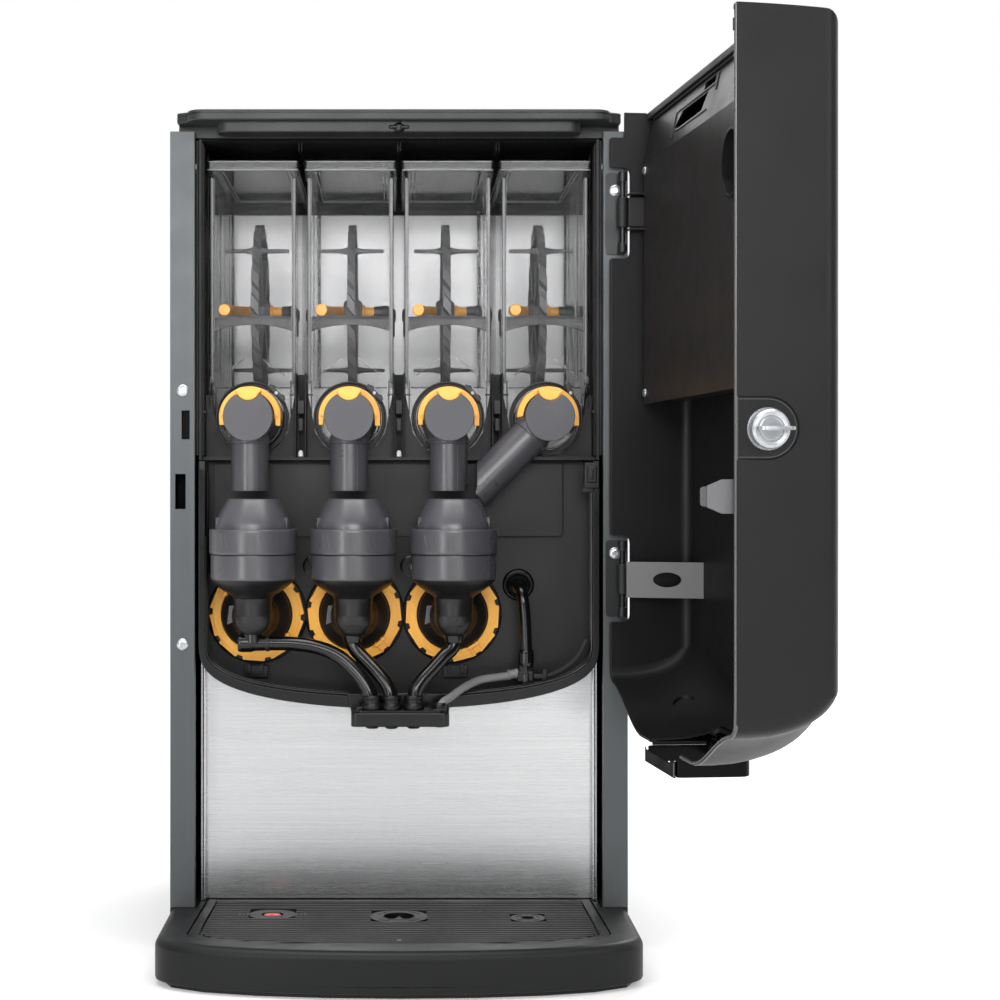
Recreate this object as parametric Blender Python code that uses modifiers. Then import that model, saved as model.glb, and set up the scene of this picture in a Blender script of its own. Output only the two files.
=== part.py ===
"""Instant drink dispenser with its door standing open.

Cabinet, four powder canisters with agitator wheels and augers, three mixers, hoses, splash panel,
drip tray and a door on two hinges. The frame: X to the right, Y into the cabinet, Z up. The front
plane of the cabinet's posts is Y = 0, the underside of the base is Z = 0, the cabinet's middle is X = 0.
The dimensions below are in millimetres and every shape is scaled to metres when it is made.
"""

import math

import bmesh
import bpy
from mathutils import Matrix, Vector

MM = 0.001

# --- driving dimensions, mm ---------------------------------------------------------------------
CAB_W = 400.0          # cabinet width
CAB_D = 335.0          # depth behind the post plane
CAB_Z0 = 38.0          # top of the base, bottom of the posts
CAB_Z1 = 716.0         # top of the posts
POST_IN = 178.6        # inner edge of a post
SHEET = 1.6            # sheet thickness of the wrap
TOP_Z = 731.0          # top of the top cover
TOP_HALF = 193.5       # half width of the top cover
LIP_HALF = 184.0       # half width of its front lip
LIP_Y = -25.0          # front of its lip

CAN_X = [-130.5, -43.5, 43.5, 130.5]   # canister centres
CAN_HALF = 38.2        # half width of a canister
CAN_Y0 = 39.5          # its front wall
CAN_Y1 = 267.0         # its back wall
CAN_TOP = 687.0        # top of its body, under the lid
LID_TOP = 697.0
OUT_Z = 466.4          # outlet and auger axis height
TROUGH_R = 31.0        # outer radius of the trough under a canister
NOTCH_R = 33.0         # radius of the shelf's notch round it
OUTLET_R = 25.3        # outer radius of a canister's outlet tube
OUTLET_IN = 23.4
SNOUT_Y = 20.0         # front end of the outlet tube

WHEEL_Y = 140.0        # agitator wheel centre
WHEEL_Z = 570.0
WHEEL_R = 82.0         # over the tooth tips
WHEEL_TEETH = 20
WHEEL_T = 9.0
AUGER_R = 22.5
PITCH = 2.0 * math.pi * WHEEL_R / WHEEL_TEETH   # one tooth a turn
AUGER_START = WHEEL_Y - 4.0 * PITCH   # a gap of the flight is under the wheel's lowest tooth

ELBOW_R = 21.5         # barrel of an outlet elbow
ELBOW_Y0 = -24.0       # its front
CHUTE_R = 16.4         # its chute
CHUTE_Y = 3.0
CHUTE_Z = 401.8        # lower end of a straight chute
LONG_CHUTE = 91.0      # length of the slanted chute

MIX_X = [-126.5, -39.5, 47.5]          # mixer centres
MIX_Y = -15.0          # axis of the mixing bowls
RING_Z = 291.9         # axis of the whippers and their bayonet rings
WALL_Y = 40.0          # front face of the mixer bay wall

DOOR_HINGE = (194.0, -12.0)            # hinge axis, in plan
DOOR_OPEN = 96.0       # degrees open as modelled
DOOR_RIM = -3.0        # rim plane of the closed door
DOOR_DEEP = 72.0       # depth of its side walls
DOOR_BOW = 12.0        # how far its face bows out
DOOR_TOP = 731.0
DOOR_LOW = 236.0       # lower edge of the door at its sides
DOOR_CHIN = 202.6      # lower edge of the door near its middle
DOOR_T = 3.0

TRAY_FRONT = -168.0    # front of the drip tray at its middle
TRAY_SIDE_Y = -104.0   # where its bow front starts
GRILLE_Z = 37.6


# --- scene ---------------------------------------------------------------------------------------
for old in list(bpy.data.objects):
    bpy.data.objects.remove(old, do_unlink=True)

parts = bpy.data.collections.new("instant_drink_dispenser")
work = bpy.data.collections.new("cutters")
bpy.context.scene.collection.children.link(parts)
bpy.context.scene.collection.children.link(work)


def to_object(mesh, name="shape"):
    obj = bpy.data.objects.new(name, mesh)
    work.objects.link(obj)
    return obj


def evaluated_mesh(obj):
    bpy.context.view_layer.update()
    graph = bpy.context.evaluated_depsgraph_get()
    return bpy.data.meshes.new_from_object(obj.evaluated_get(graph))


def replace_mesh(obj, mesh):
    old = obj.data
    obj.modifiers.clear()
    obj.data = mesh
    bpy.data.meshes.remove(old)
    return obj


def tidy(mesh, weld=1e-6, turn_out=False):
    """Weld the seams, and on a simple closed shape turn the faces out."""
    bm = bmesh.new()
    bm.from_mesh(mesh)
    bmesh.ops.remove_doubles(bm, verts=bm.verts, dist=weld)
    bmesh.ops.dissolve_degenerate(bm, edges=bm.edges, dist=weld)
    if turn_out:
        bmesh.ops.recalc_face_normals(bm, faces=bm.faces)
    bm.to_mesh(mesh)
    bm.free()
    return mesh


def apply_bevel(obj, width, segments=2, angle=30.0):
    bm = bmesh.new()
    bm.from_mesh(obj.data)
    bmesh.ops.dissolve_limit(bm, angle_limit=0.01, verts=bm.verts, edges=bm.edges)
    bm.to_mesh(obj.data)
    bm.free()
    bevel = obj.modifiers.new("Bevel", "BEVEL")
    bevel.width = width * MM
    bevel.segments = segments
    bevel.limit_method = "ANGLE"
    bevel.angle_limit = math.radians(angle)
    return replace_mesh(obj, evaluated_mesh(obj))


def box(lo, hi, bevel=0.0, segments=1):
    bm = bmesh.new()
    bmesh.ops.create_cube(bm, size=1.0)
    size = [(h - l) * MM for l, h in zip(lo, hi)]
    middle = [(h + l) / 2 * MM for l, h in zip(lo, hi)]
    bmesh.ops.scale(bm, vec=size, verts=bm.verts)
    bmesh.ops.translate(bm, vec=middle, verts=bm.verts)
    mesh = bpy.data.meshes.new("box")
    bm.to_mesh(mesh)
    bm.free()
    obj = to_object(mesh)
    return apply_bevel(obj, bevel, segments) if bevel else obj


def cylinder(start, end, r, sides=24, r2=None):
    """A cylinder or cone from start to end."""
    a, b = Vector(start) * MM, Vector(end) * MM
    turn = (b - a).to_track_quat("Z", "Y").to_matrix().to_4x4()
    bm = bmesh.new()
    bmesh.ops.create_cone(
        bm, cap_ends=True, segments=sides, radius1=r * MM,
        radius2=(r if r2 is None else r2) * MM, depth=(b - a).length,
    )
    bmesh.ops.transform(bm, matrix=Matrix.Translation((a + b) / 2) @ turn, verts=bm.verts)
    mesh = bpy.data.meshes.new("cylinder")
    bm.to_mesh(mesh)
    bm.free()
    return to_object(mesh)


def plate(outlines, lo, hi, axis="Z"):
    """Flat outlines, the first the border and the others holes, extruded from lo to hi along axis.

    The outlines are (x, y) for axis Z, (x, z) for Y and (y, z) for X.
    """
    curve = bpy.data.curves.new("outline", "CURVE")
    curve.dimensions = "2D"
    curve.fill_mode = "BOTH"
    curve.extrude = (hi - lo) / 2 * MM
    for outline in outlines:
        spline = curve.splines.new("POLY")
        spline.points.add(len(outline) - 1)
        for point, (u, v) in zip(spline.points, outline):
            point.co = (u * MM, v * MM, 0.0, 1.0)
        spline.use_cyclic_u = True
    obj = bpy.data.objects.new("outline", curve)
    work.objects.link(obj)
    mesh = evaluated_mesh(obj)
    bpy.data.objects.remove(obj, do_unlink=True)
    middle = (lo + hi) / 2 * MM
    for vertex in mesh.vertices:
        u, v, w = vertex.co
        w += middle
        vertex.co = {"Z": (u, v, w), "Y": (u, w, v), "X": (w, u, v)}[axis]
    return to_object(tidy(mesh, turn_out=True))


def lathe(profile, centre, direction=(0, 0, 1), sides=20, closed=True):
    """A turned shape. The profile is (radius, height) pairs; height runs along direction from centre."""
    mesh = bpy.data.meshes.new("turned")
    count = len(profile)
    edges = [(i, i + 1) for i in range(count - 1)] + ([(count - 1, 0)] if closed else [])
    mesh.from_pydata([(r * MM, 0.0, h * MM) for r, h in profile], edges, [])
    obj = to_object(mesh)
    screw = obj.modifiers.new("Screw", "SCREW")
    screw.axis = "Z"
    screw.angle = 2 * math.pi
    screw.steps = sides
    screw.render_steps = sides
    screw.use_merge_vertices = True
    screw.merge_threshold = 1e-6
    replace_mesh(obj, evaluated_mesh(obj))
    tidy(obj.data, turn_out=True)
    turn = Vector(direction).to_track_quat("Z", "Y").to_matrix().to_4x4()
    obj.data.transform(Matrix.Translation(Vector(centre) * MM) @ turn)
    return obj


def tube(points, r, resolution=2, turn_out=True):
    """A round bar or hose along the points."""
    curve = bpy.data.curves.new("path", "CURVE")
    curve.dimensions = "3D"
    curve.bevel_depth = r * MM
    curve.bevel_resolution = resolution
    curve.use_fill_caps = True
    spline = curve.splines.new("POLY")
    spline.points.add(len(points) - 1)
    for point, place in zip(spline.points, points):
        point.co = (*(Vector(place) * MM), 1.0)
    obj = bpy.data.objects.new("path", curve)
    work.objects.link(obj)
    mesh = evaluated_mesh(obj)
    bpy.data.objects.remove(obj, do_unlink=True)
    return to_object(tidy(mesh, turn_out=turn_out))


def smooth_route(route, step):
    """Points about a step apart on a smooth curve through the route's own points."""
    pts = [Vector(p) for p in route]
    pts = [2 * pts[0] - pts[1]] + pts + [2 * pts[-1] - pts[-2]]
    out = []
    for i in range(1, len(pts) - 2):
        p0, p1, p2, p3 = pts[i - 1:i + 3]
        n = max(1, round((p2 - p1).length / step))
        for k in range(n):
            t = k / n
            out.append(
                0.5 * ((2 * p1) + (p2 - p0) * t + (2 * p0 - 5 * p1 + 4 * p2 - p3) * t * t
                       + (3 * p1 - p0 - 3 * p2 + p3) * t ** 3)
            )
    out.append(pts[-2])
    return out


def combine(target, *others, op="UNION"):
    for other in others:
        boolean = target.modifiers.new("Boolean", "BOOLEAN")
        boolean.operation = op
        boolean.solver = "EXACT"
        boolean.object = other
        replace_mesh(target, evaluated_mesh(target))
        tidy(target.data)
        bpy.data.objects.remove(other, do_unlink=True)
    return target


def cut(target, *others):
    return combine(target, *others, op="DIFFERENCE")


def circle(cx, cy, r, count=24, start=0.0, sweep=360.0):
    closed = sweep >= 360.0
    n = count if closed else count - 1
    return [
        (cx + r * math.cos(math.radians(start + sweep * i / n)),
         cy + r * math.sin(math.radians(start + sweep * i / n)))
        for i in range(count)
    ]


def rect(x0, y0, x1, y1, r=0.0, steps=3):
    if r <= 0:
        return [(x0, y0), (x1, y0), (x1, y1), (x0, y1)]
    out = []
    for cx, cy, start in ((x1 - r, y0 + r, -90), (x1 - r, y1 - r, 0), (x0 + r, y1 - r, 90), (x0 + r, y0 + r, 180)):
        out += circle(cx, cy, r, steps + 1, start, 90.0)
    return out


def finish(name, obj, colour, rough=0.5, metal=0.0, origin=(0, 0, 0), parent=None, alpha=1.0):
    """Name the shape, give it its material, put its origin in place and hang it from its parent.

    The shape's mesh is in the frame of its parent, with that parent's own origin still at zero.
    """
    mesh = obj.data
    mesh.name = name
    mesh.transform(Matrix.Translation(-Vector(origin) * MM))
    mesh.shade_smooth()
    mesh.set_sharp_from_angle(angle=math.radians(35))
    material = bpy.data.materials.new(name)
    material.use_nodes = True
    shader = material.node_tree.nodes["Principled BSDF"]
    shader.inputs["Base Color"].default_value = (*[(c / 255.0) ** 2.2 for c in colour], 1.0)
    shader.inputs["Roughness"].default_value = rough
    shader.inputs["Metallic"].default_value = metal
    shader.inputs["Alpha"].default_value = alpha
    mesh.materials.clear()
    mesh.materials.append(material)
    work.objects.unlink(obj)
    parts.objects.link(obj)
    obj.name = name
    offset = Vector((0, 0, 0))
    if parent is not None:
        obj.parent = parent
        offset = Vector(parent["origin_mm"])
    obj.location = (Vector(origin) - offset) * MM
    return obj


def pivot(name, place, turn=0.0):
    """An empty on a joint's axis. Children are modelled in the frame that it has before its turn."""
    empty = bpy.data.objects.new(name, None)
    parts.objects.link(empty)
    empty.empty_display_size = 0.03
    empty.location = Vector(place) * MM
    empty.rotation_euler = (0.0, 0.0, math.radians(turn))
    empty["origin_mm"] = list(place)
    return empty


# --- base, wrap, top cover -----------------------------------------------------------------------
def bow_outline(side, corner_y, front, back, inset=0.0, steps=10):
    """Plan outline with straight sides from back to corner_y and a bow front, anticlockwise."""
    side, front, back = side - inset, front + inset, back - inset
    pts = [(-side, back), (-side, corner_y)]
    for i in range(1, steps):
        angle = math.pi * i / steps
        pts.append((-side * math.cos(angle) ** 1 if abs(math.cos(angle)) > 1e-9 else 0.0,
                    corner_y + (front - corner_y) * math.sin(angle) ** 0.8))
    pts += [(side, corner_y), (side, back)]
    return pts


def make_base():
    plinth = plate([bow_outline(200, TRAY_SIDE_Y, TRAY_FRONT, CAB_D, inset=6.0)], 0.0, 3.6)
    wall = plate([[(-200, 0.0), (-200, CAB_D), (200, CAB_D), (200, 0.0), (178, 0.0), (178, CAB_D - 12),
                   (-178, CAB_D - 12), (-178, 0.0)]], 3.0, CAB_Z0 - 0.3)
    cross = box((-179, 41.0, 3.0), (179, 45.0, CAB_Z0 - 0.3))
    return finish("base_moulding", combine(plinth, wall, cross), (38, 38, 38), 0.45)


def make_wrap():
    o, i, t = CAB_W / 2, POST_IN, SHEET
    outline = [(-i, 0), (-o, 0), (-o, CAB_D), (o, CAB_D), (o, 0), (i, 0), (i, 10), (i + t, 10), (i + t, t),
               (o - t, t), (o - t, CAB_D - t), (-o + t, CAB_D - t), (-o + t, t), (-i - t, t), (-i - t, 10), (-i, 10)]
    wrap = plate([outline], CAB_Z0, CAB_Z1)
    upper = box((-190, -1, 447), (-183, 3, 472))
    lower = box((-195.5, -1, 386), (-186.5, 3, 416.6))
    return finish("cabinet_wrap", cut(wrap, upper, lower), (120, 125, 128), 0.4, 0.6)


def make_top():
    lip = [(-LIP_HALF + 12, LIP_Y)]
    lip = circle(-LIP_HALF + 14, LIP_Y + 14, 14, 4, 270, -90)
    lip += [(-LIP_HALF, -8), (-TOP_HALF, -4), (-TOP_HALF, 332), (TOP_HALF, 332), (TOP_HALF, -4), (LIP_HALF, -8)]
    lip += circle(LIP_HALF - 14, LIP_Y + 14, 14, 4, 0, -90)
    crown = plate([lip], 718.0, TOP_Z)
    apply_bevel(crown, 2.0, 2, 50)
    skirt = box((-TOP_HALF, 12, 712), (TOP_HALF, 332, 720))
    knob = cylinder((0, -14, 712.5), (0, -14, 720), 5.5, 16)
    combine(crown, skirt, knob)
    cut(crown, box((-190, 15, 700), (190, 329, 727.5)))
    return finish("top_cover", crown, (52, 54, 54), 0.4)


# --- canister bay --------------------------------------------------------------------------------
def notch_outline(cx, half):
    """Front plate of one canister place: a rectangle with a U-shaped notch open at its top."""
    low, high = 431.0, 487.0
    arc = circle(cx, OUT_Z, NOTCH_R + 0.6, 9, 0, -180)
    return ([(cx - half, low), (cx + half, low), (cx + half, high), (cx + NOTCH_R + 4.5, high)]
            + arc + [(cx - NOTCH_R - 4.5, high), (cx - half, high)])


def make_shelf():
    floor = box((-176, 36.0, 429.0), (176, 279.6, 432.0))
    left = box((-176, 12.0, 429.0), (-173.6, 279.6, 711.0))
    right = box((173.6, 12.0, 429.0), (176, 279.6, 711.0))
    brow = box((-176, 22.0, 429.0), (176, 37.0, 432.0))
    solids = [plate([notch_outline(cx, 41.3)], 35.8, 38.8, "Y") for cx in CAN_X]
    return finish("canister_shelf", combine(floor, left, right, brow, *solids), (22, 22, 22), 0.5)


def make_bay_back():
    holes = [circle(cx, OUT_Z, 8.0, 10) for cx in CAN_X]
    panel = plate([rect(-176, 434, 176, 682)] + holes, 280.0, 281.5, "Y")
    return finish("bay_back_panel", panel, (205, 207, 208), 0.35, 0.9)


# --- mixer bay -----------------------------------------------------------------------------------
def bay_outline(inset=0.0, top=428.0):
    """Front view of the mixer bay: straight sides and a wide rounded bottom."""
    half, side_z, low = 175.5 - inset * 0.55, 272.0, 211.0 + inset
    pts = [(half, top), (half, side_z)]
    for i in range(1, 12):
        angle = math.pi * i / 12
        pts.append((half * math.cos(angle) if i != 6 else 0.0,
                    side_z - (side_z - low) * math.sin(angle) ** 0.62))
    pts += [(-half, side_z), (-half, top)]
    return pts


def make_mixer_wall():
    tub = plate([bay_outline()], 2.0, WALL_Y + 2.0, "Y")
    hollow = plate([bay_outline(10.0, top=440.0)], -2.0, WALL_Y, "Y")
    cut(tub, hollow)
    for cx in MIX_X:
        cut(tub, cylinder((cx, 30, RING_Z), (cx, 50, RING_Z), 9.0, 12))
    cut(tub, cylinder((106.5, 30, 318), (106.5, 50, 318), 7.5, 12))
    collar = lathe([(13.5, 4.0), (14.5, 2.0), (14.5, -1.0), (7.0, -1.0), (7.0, 4.0)], (106.5, WALL_Y - 1.0, 318), (0, -1, 0), 14)
    combine(tub, collar)
    return finish("mixer_bay_wall", tub, (46, 46, 46), 0.5)


def make_splash():
    top = [(x, z - 0.4) for x, z in bay_outline(0.0)][1:-1]
    outline = [(175.5, CAB_Z0 + 0.3)] + [(175.5, 271.6)] + top[1:-1] + [(-175.5, 271.6), (-175.5, CAB_Z0 + 0.3)]
    panel = plate([outline], 37.8, 39.3, "Y")
    for side in (-1, 1):
        a, b = sorted((side * 175.5, side * 174.3))
        combine(panel, box((a, 28.0, CAB_Z0 + 0.3), (b, 39.0, 262.0)))
    return finish("splash_panel", panel, (205, 207, 208), 0.3, 0.95)


NOZZLES = [(-23.0, -32.0), (-6.4, -33.0), (12.5, -32.0)]


def make_outlet_block():
    block = box((-41, -46, 201.0), (43, 1.4, 213.0), 1.5)
    for x, y in NOZZLES:
        cut(block, cylinder((x, y, 190), (x, y, 225), 7.0, 12))
    cut(block, cylinder((35.0, -30, 190), (35.0, -30, 225), 4.4, 10))
    tongue = box((-34, -6, 198.5), (36, 1.4, 205.0))
    return finish("outlet_block", combine(block, tongue), (30, 30, 30), 0.35)


def make_hoses():
    r = 6.2
    left = [(-132.7, -17, 270.0), (-122, -18, 270.0), (-108, -19, 270.2), (-90, -20, 269.8), (-70, -22, 266.8),
            (-53, -24, 260.0), (-39.5, -27, 249.0), (-29.5, -30, 236.8), (-24.0, -32, 224.0), (-23.0, -32, 198.0)]
    middle = [(-40.2, -17, 274.0), (-40.2, -17, 269.5), (-36.6, -18.6, 263.5), (-28.5, -22, 255.5), (-18.5, -27, 245.5),
              (-10.0, -31, 234.8), (-6.9, -33, 224.0), (-6.4, -33, 198.0)]
    right = [(47.9, -17, 274.0), (47.9, -17, 269.5), (44.9, -18.4, 264.5), (39.0, -21, 259.5), (29.0, -25, 248.8),
             (18.8, -29, 238.0), (13.6, -31.5, 227.0), (12.5, -32, 198.0)]
    for name, route in (("hose_left", left), ("hose_middle", middle), ("hose_right", right)):
        finish(name, tube(smooth_route(route, 13.0), r, 2), (24, 24, 24), 0.35)
    water = [(104.4, 16.5, 241.0), (97, 14.5, 239.0), (86, 11, 238.0), (70, 4, 236.0), (56, -8, 230.5), (45, -19, 224.0),
             (38.4, -26.6, 220.5), (35.2, -30, 216.0), (35.0, -30, 207.0), (35.0, -30, 198.0)]
    finish("water_hose", tube(smooth_route(water, 11.0), 3.5, 2), (128, 128, 128), 0.45)


def make_hot_water_pipe():
    route = [(106.5, 43.6, 318), (106.5, 37, 318), (106.5, 28, 317.5), (107.5, 20, 313.5), (109.5, 16, 305), (111, 15.5, 290),
             (112, 15.5, 268), (112, 16, 248)]
    pipe = tube(smooth_route(route, 10.0), 5.2, 2)
    nut = cylinder((112, 16.3, 252), (112, 16.3, 232.5), 7.2, 6)
    bracket = box((105, 14.5, 232.5), (121.5, 19.5, 236.5))
    return finish("hot_water_pipe", combine(pipe, nut, bracket), (26, 26, 26), 0.35)


# --- inside: boiler and the chassis that carries the motors --------------------------------------
def make_boiler():
    profile = [(14, 236), (14, 227), (58, 223), (64, 216), (64, 26), (58, 20), (42, 18), (42, 4), (40, 4), (40, 20),
               (57, 22.5), (62, 27), (62, 215), (57, 221), (12, 225), (12, 236)]
    tank = lathe(profile, (-70, 190, 0), sides=14)
    floor = cylinder((-70, 190, 17.0), (-70, 190, 21.0), 41.0, 14)
    combine(tank, floor)
    return finish("boiler", tank, (190, 190, 192), 0.3, 0.9)


def make_drives():
    outline = [(44.4, 252), (46.4, 252), (46.4, 399), (284.4, 399), (284.4, 520), (282.4, 520), (282.4, 401), (44.4, 401)]
    chassis = plate([outline], -168.0, 168.0, "X")
    for cx in CAN_X:
        combine(chassis, box((cx - 27, 283.5, OUT_Z - 30), (cx + 27, 306, OUT_Z + 42)))
        combine(chassis, cylinder((cx, 305, OUT_Z + 22), (cx, 330, OUT_Z + 22), 17.0, 12))
        combine(chassis, cylinder((cx, 285, OUT_Z), (cx, 275.0, OUT_Z), 6.5, 8))
    for cx in MIX_X:
        combine(chassis, cylinder((cx, 45.5, RING_Z), (cx, 104, RING_Z), 24.0, 14))
        combine(chassis, cylinder((cx, 47, RING_Z), (cx, 40.9, RING_Z), 5.0, 8))
    return finish("drive_chassis", chassis, (160, 162, 164), 0.4, 0.8)


# --- canisters -----------------------------------------------------------------------------------
def canister_outline(cx, inset=0.0, top=CAN_TOP):
    half, r = CAN_HALF - inset, TROUGH_R - inset
    return ([(cx + half, top), (cx + half, 502.0)] + circle(cx, OUT_Z, r, 9, 0, -180)
            + [(cx - half, 502.0), (cx - half, top)])


def make_canister(i, cx):
    body = plate([canister_outline(cx)], CAN_Y0, CAN_Y1, "Y")
    cut(body, plate([canister_outline(cx, 2.0, CAN_TOP + 6)], CAN_Y0 + 2.0, CAN_Y1 - 2.0, "Y"))
    rim = plate([rect(cx - 40.6, 37.6, cx + 40.6, 269.0), rect(cx - 36.4, 41.3, cx + 36.4, 265.2)], 682.0, CAN_TOP)
    snout = cylinder((cx, CAN_Y0 + 1.0, OUT_Z), (cx, SNOUT_Y, OUT_Z), OUTLET_R, 20)
    combine(body, rim, snout)
    cut(body, cylinder((cx, 5.0, OUT_Z), (cx, CAN_Y0 + 5.0, OUT_Z), OUTLET_IN, 20))
    cut(body, cylinder((cx, CAN_Y1 - 6, OUT_Z), (cx, CAN_Y1 + 5, OUT_Z), 5.6, 9))
    return finish(f"canister_{i}", body, (225, 228, 230), 0.08, 0.0, (cx, 0, OUT_Z), None, 0.25)


def make_lid(cx, i):
    lid = plate([rect(cx - 41.4, 36.8, cx + 41.4, 269.8)], CAN_TOP + 0.4, LID_TOP)
    cut(lid, plate([rect(cx - 38.6, 39.6, cx + 38.6, 267.0)], LID_TOP - 2.5, LID_TOP + 3))
    return finish(f"canister_lid_{i}", lid, (215, 218, 220), 0.1, 0.0, (cx, 0, CAN_TOP), None, 0.35)


def make_elbow(i, cx):
    profile = [(0, 0.0), (ELBOW_R - 1.5, 0.0), (ELBOW_R, -1.5), (ELBOW_R, ELBOW_Y0 - SNOUT_Y + 0.4), (19.2, ELBOW_Y0 - SNOUT_Y + 0.4), (19.2, -4.0), (0, -4.0)]
    barrel = lathe(profile, (cx, ELBOW_Y0, OUT_Z), (0, -1, 0), 16, closed=False)
    if i < 4:
        end = Vector((cx, CHUTE_Y, CHUTE_Z))
        tip = end
    else:
        slope = Vector((-1, 0, -1)).normalized()
        end = Vector((cx, CHUTE_Y, OUT_Z)) + slope * (LONG_CHUTE + 16)
    start = Vector((cx, CHUTE_Y, OUT_Z))
    run = (end - start).normalized()
    combine(barrel, cylinder(start + run * 17.0, end, CHUTE_R, 12))
    cut(barrel, cylinder(start + run * 6.0, end + run * 4, CHUTE_R - 2.0, 12))
    if i == 4:
        # its end follows the shoulder of the hood below it
        cut(barrel, plate([[(68.0, 440), (68.0, 398.8), (79.0, 384.5), (79.0, 340), (10, 340), (10, 440)]], -30, 40, "Y"))
    return finish(f"outlet_elbow_{i}", barrel, (92, 92, 94), 0.45, 0.0, (cx, 0, OUT_Z))


def make_locking_ring(i, cx):
    sweep = 200.0 if i < 4 else 186.0      # the slanted chute shortens the last one
    outer = circle(cx, OUT_Z, 26.9, 11, -10, sweep)
    inner = circle(cx, OUT_Z, 22.4, 11, sweep - 10, -sweep)
    ring = plate([outer + inner], 1.0, SNOUT_Y - 0.4, "Y")
    hook = box((cx + 22.0, 1.0, OUT_Z - 12.0), (cx + 27.0, SNOUT_Y - 0.4, OUT_Z - 2.0))
    combine(ring, hook)
    if i < 4:
        combine(ring, box((cx - 27.0, 1.0, OUT_Z - 12.0), (cx - 22.0, SNOUT_Y - 0.4, OUT_Z - 2.0)))
    return finish(f"locking_ring_{i}", ring, (240, 165, 65), 0.45, 0.0, (cx, 0, OUT_Z))


def gear_outline(teeth, root, tip, phase):
    pts = []
    step = 360.0 / teeth
    for k in range(teeth):
        a = phase + k * step
        for r, off in ((tip, -0.15), (tip, 0.15), (root, 0.5)):
            ang = math.radians(a + off * step)
            pts.append((WHEEL_Y + r * math.cos(ang), WHEEL_Z + r * math.sin(ang)))
    return pts


def wheel_mesh():
    """Agitator wheel: toothed rim, four arms, hub, axle and two stirring rods."""
    windows = []
    for k in range(4):
        a0 = 45 + k * 90 + 10
        windows.append(circle(WHEEL_Y, WHEEL_Z, 66.0, 4, a0, 70) + circle(WHEEL_Y, WHEEL_Z, 17.0, 2, a0 + 55, -40))
    wheel = plate([gear_outline(WHEEL_TEETH, 75.5, WHEEL_R, -90.0)] + windows, -WHEEL_T / 2, WHEEL_T / 2, "X")
    axle = cylinder((-35.6, WHEEL_Y, WHEEL_Z), (35.6, WHEEL_Y, WHEEL_Z), 4.6, 10)
    rods = []
    for side in (1, -1):
        y, z = WHEEL_Y - side * 48.0, WHEEL_Z + side * 52.0
        rods.append(cylinder((-29.5, y, z), (29.5, y, z), 2.3, 6))
    return combine(wheel, axle, *rods)


def auger_mesh():
    """Auger: a helical flight of one wheel tooth's pitch on a core, with a drive end at the back."""
    turns, steps = 9, 8
    half, core = 1.2, 5.6
    profile = [(core, 0.0), (core, PITCH / 2 - half - 0.8), (AUGER_R, PITCH / 2 - half), (AUGER_R, PITCH / 2 + half),
               (core, PITCH / 2 + half + 0.8), (core, PITCH)]
    mesh = bpy.data.meshes.new("flight")
    mesh.from_pydata([(r * MM, 0.0, h * MM) for r, h in profile], [(k, k + 1) for k in range(len(profile) - 1)], [])
    flight = to_object(mesh)
    screw = flight.modifiers.new("Screw", "SCREW")
    screw.axis = "Z"
    screw.angle = 2 * math.pi
    screw.screw_offset = PITCH * MM
    screw.iterations = turns
    screw.steps = steps
    screw.render_steps = steps
    screw.use_merge_vertices = False
    replace_mesh(flight, evaluated_mesh(flight))
    tidy(flight.data, 2e-5)
    bm = bmesh.new()
    bm.from_mesh(flight.data)
    for height, side in ((PITCH, -1), (PITCH * (turns - 1), 1)):
        bmesh.ops.bisect_plane(
            bm, geom=bm.verts[:] + bm.edges[:] + bm.faces[:], plane_co=(0, 0, height * MM), plane_no=(0, 0, side),
            clear_outer=True,
        )
    bmesh.ops.remove_doubles(bm, verts=bm.verts, dist=2e-5)
    bmesh.ops.holes_fill(bm, edges=[e for e in bm.edges if e.is_boundary], sides=0)
    bmesh.ops.recalc_face_normals(bm, faces=bm.faces)
    bmesh.ops.translate(bm, vec=(0, 0, -PITCH * MM), verts=bm.verts)
    bm.to_mesh(flight.data)
    bm.free()
    end = CAN_Y1 + 7.4 - AUGER_START
    return combine(flight, cylinder((0, 0, PITCH * (turns - 2) - 3.0), (0, 0, end), 5.0, 9))


# --- mixers --------------------------------------------------------------------------------------
def make_funnel(i, cx):
    profile = [(23.2, 395.0), (33.0, 381.0), (33.4, 366.5), (31.2, 366.5), (31.0, 379.6), (21.0, 395.0)]
    hood = lathe(profile, (cx, MIX_Y, 0), sides=16)
    return finish(f"mixer_funnel_{i}", hood, (100, 100, 102), 0.5, 0.0, (cx, MIX_Y, 366.5))


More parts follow.
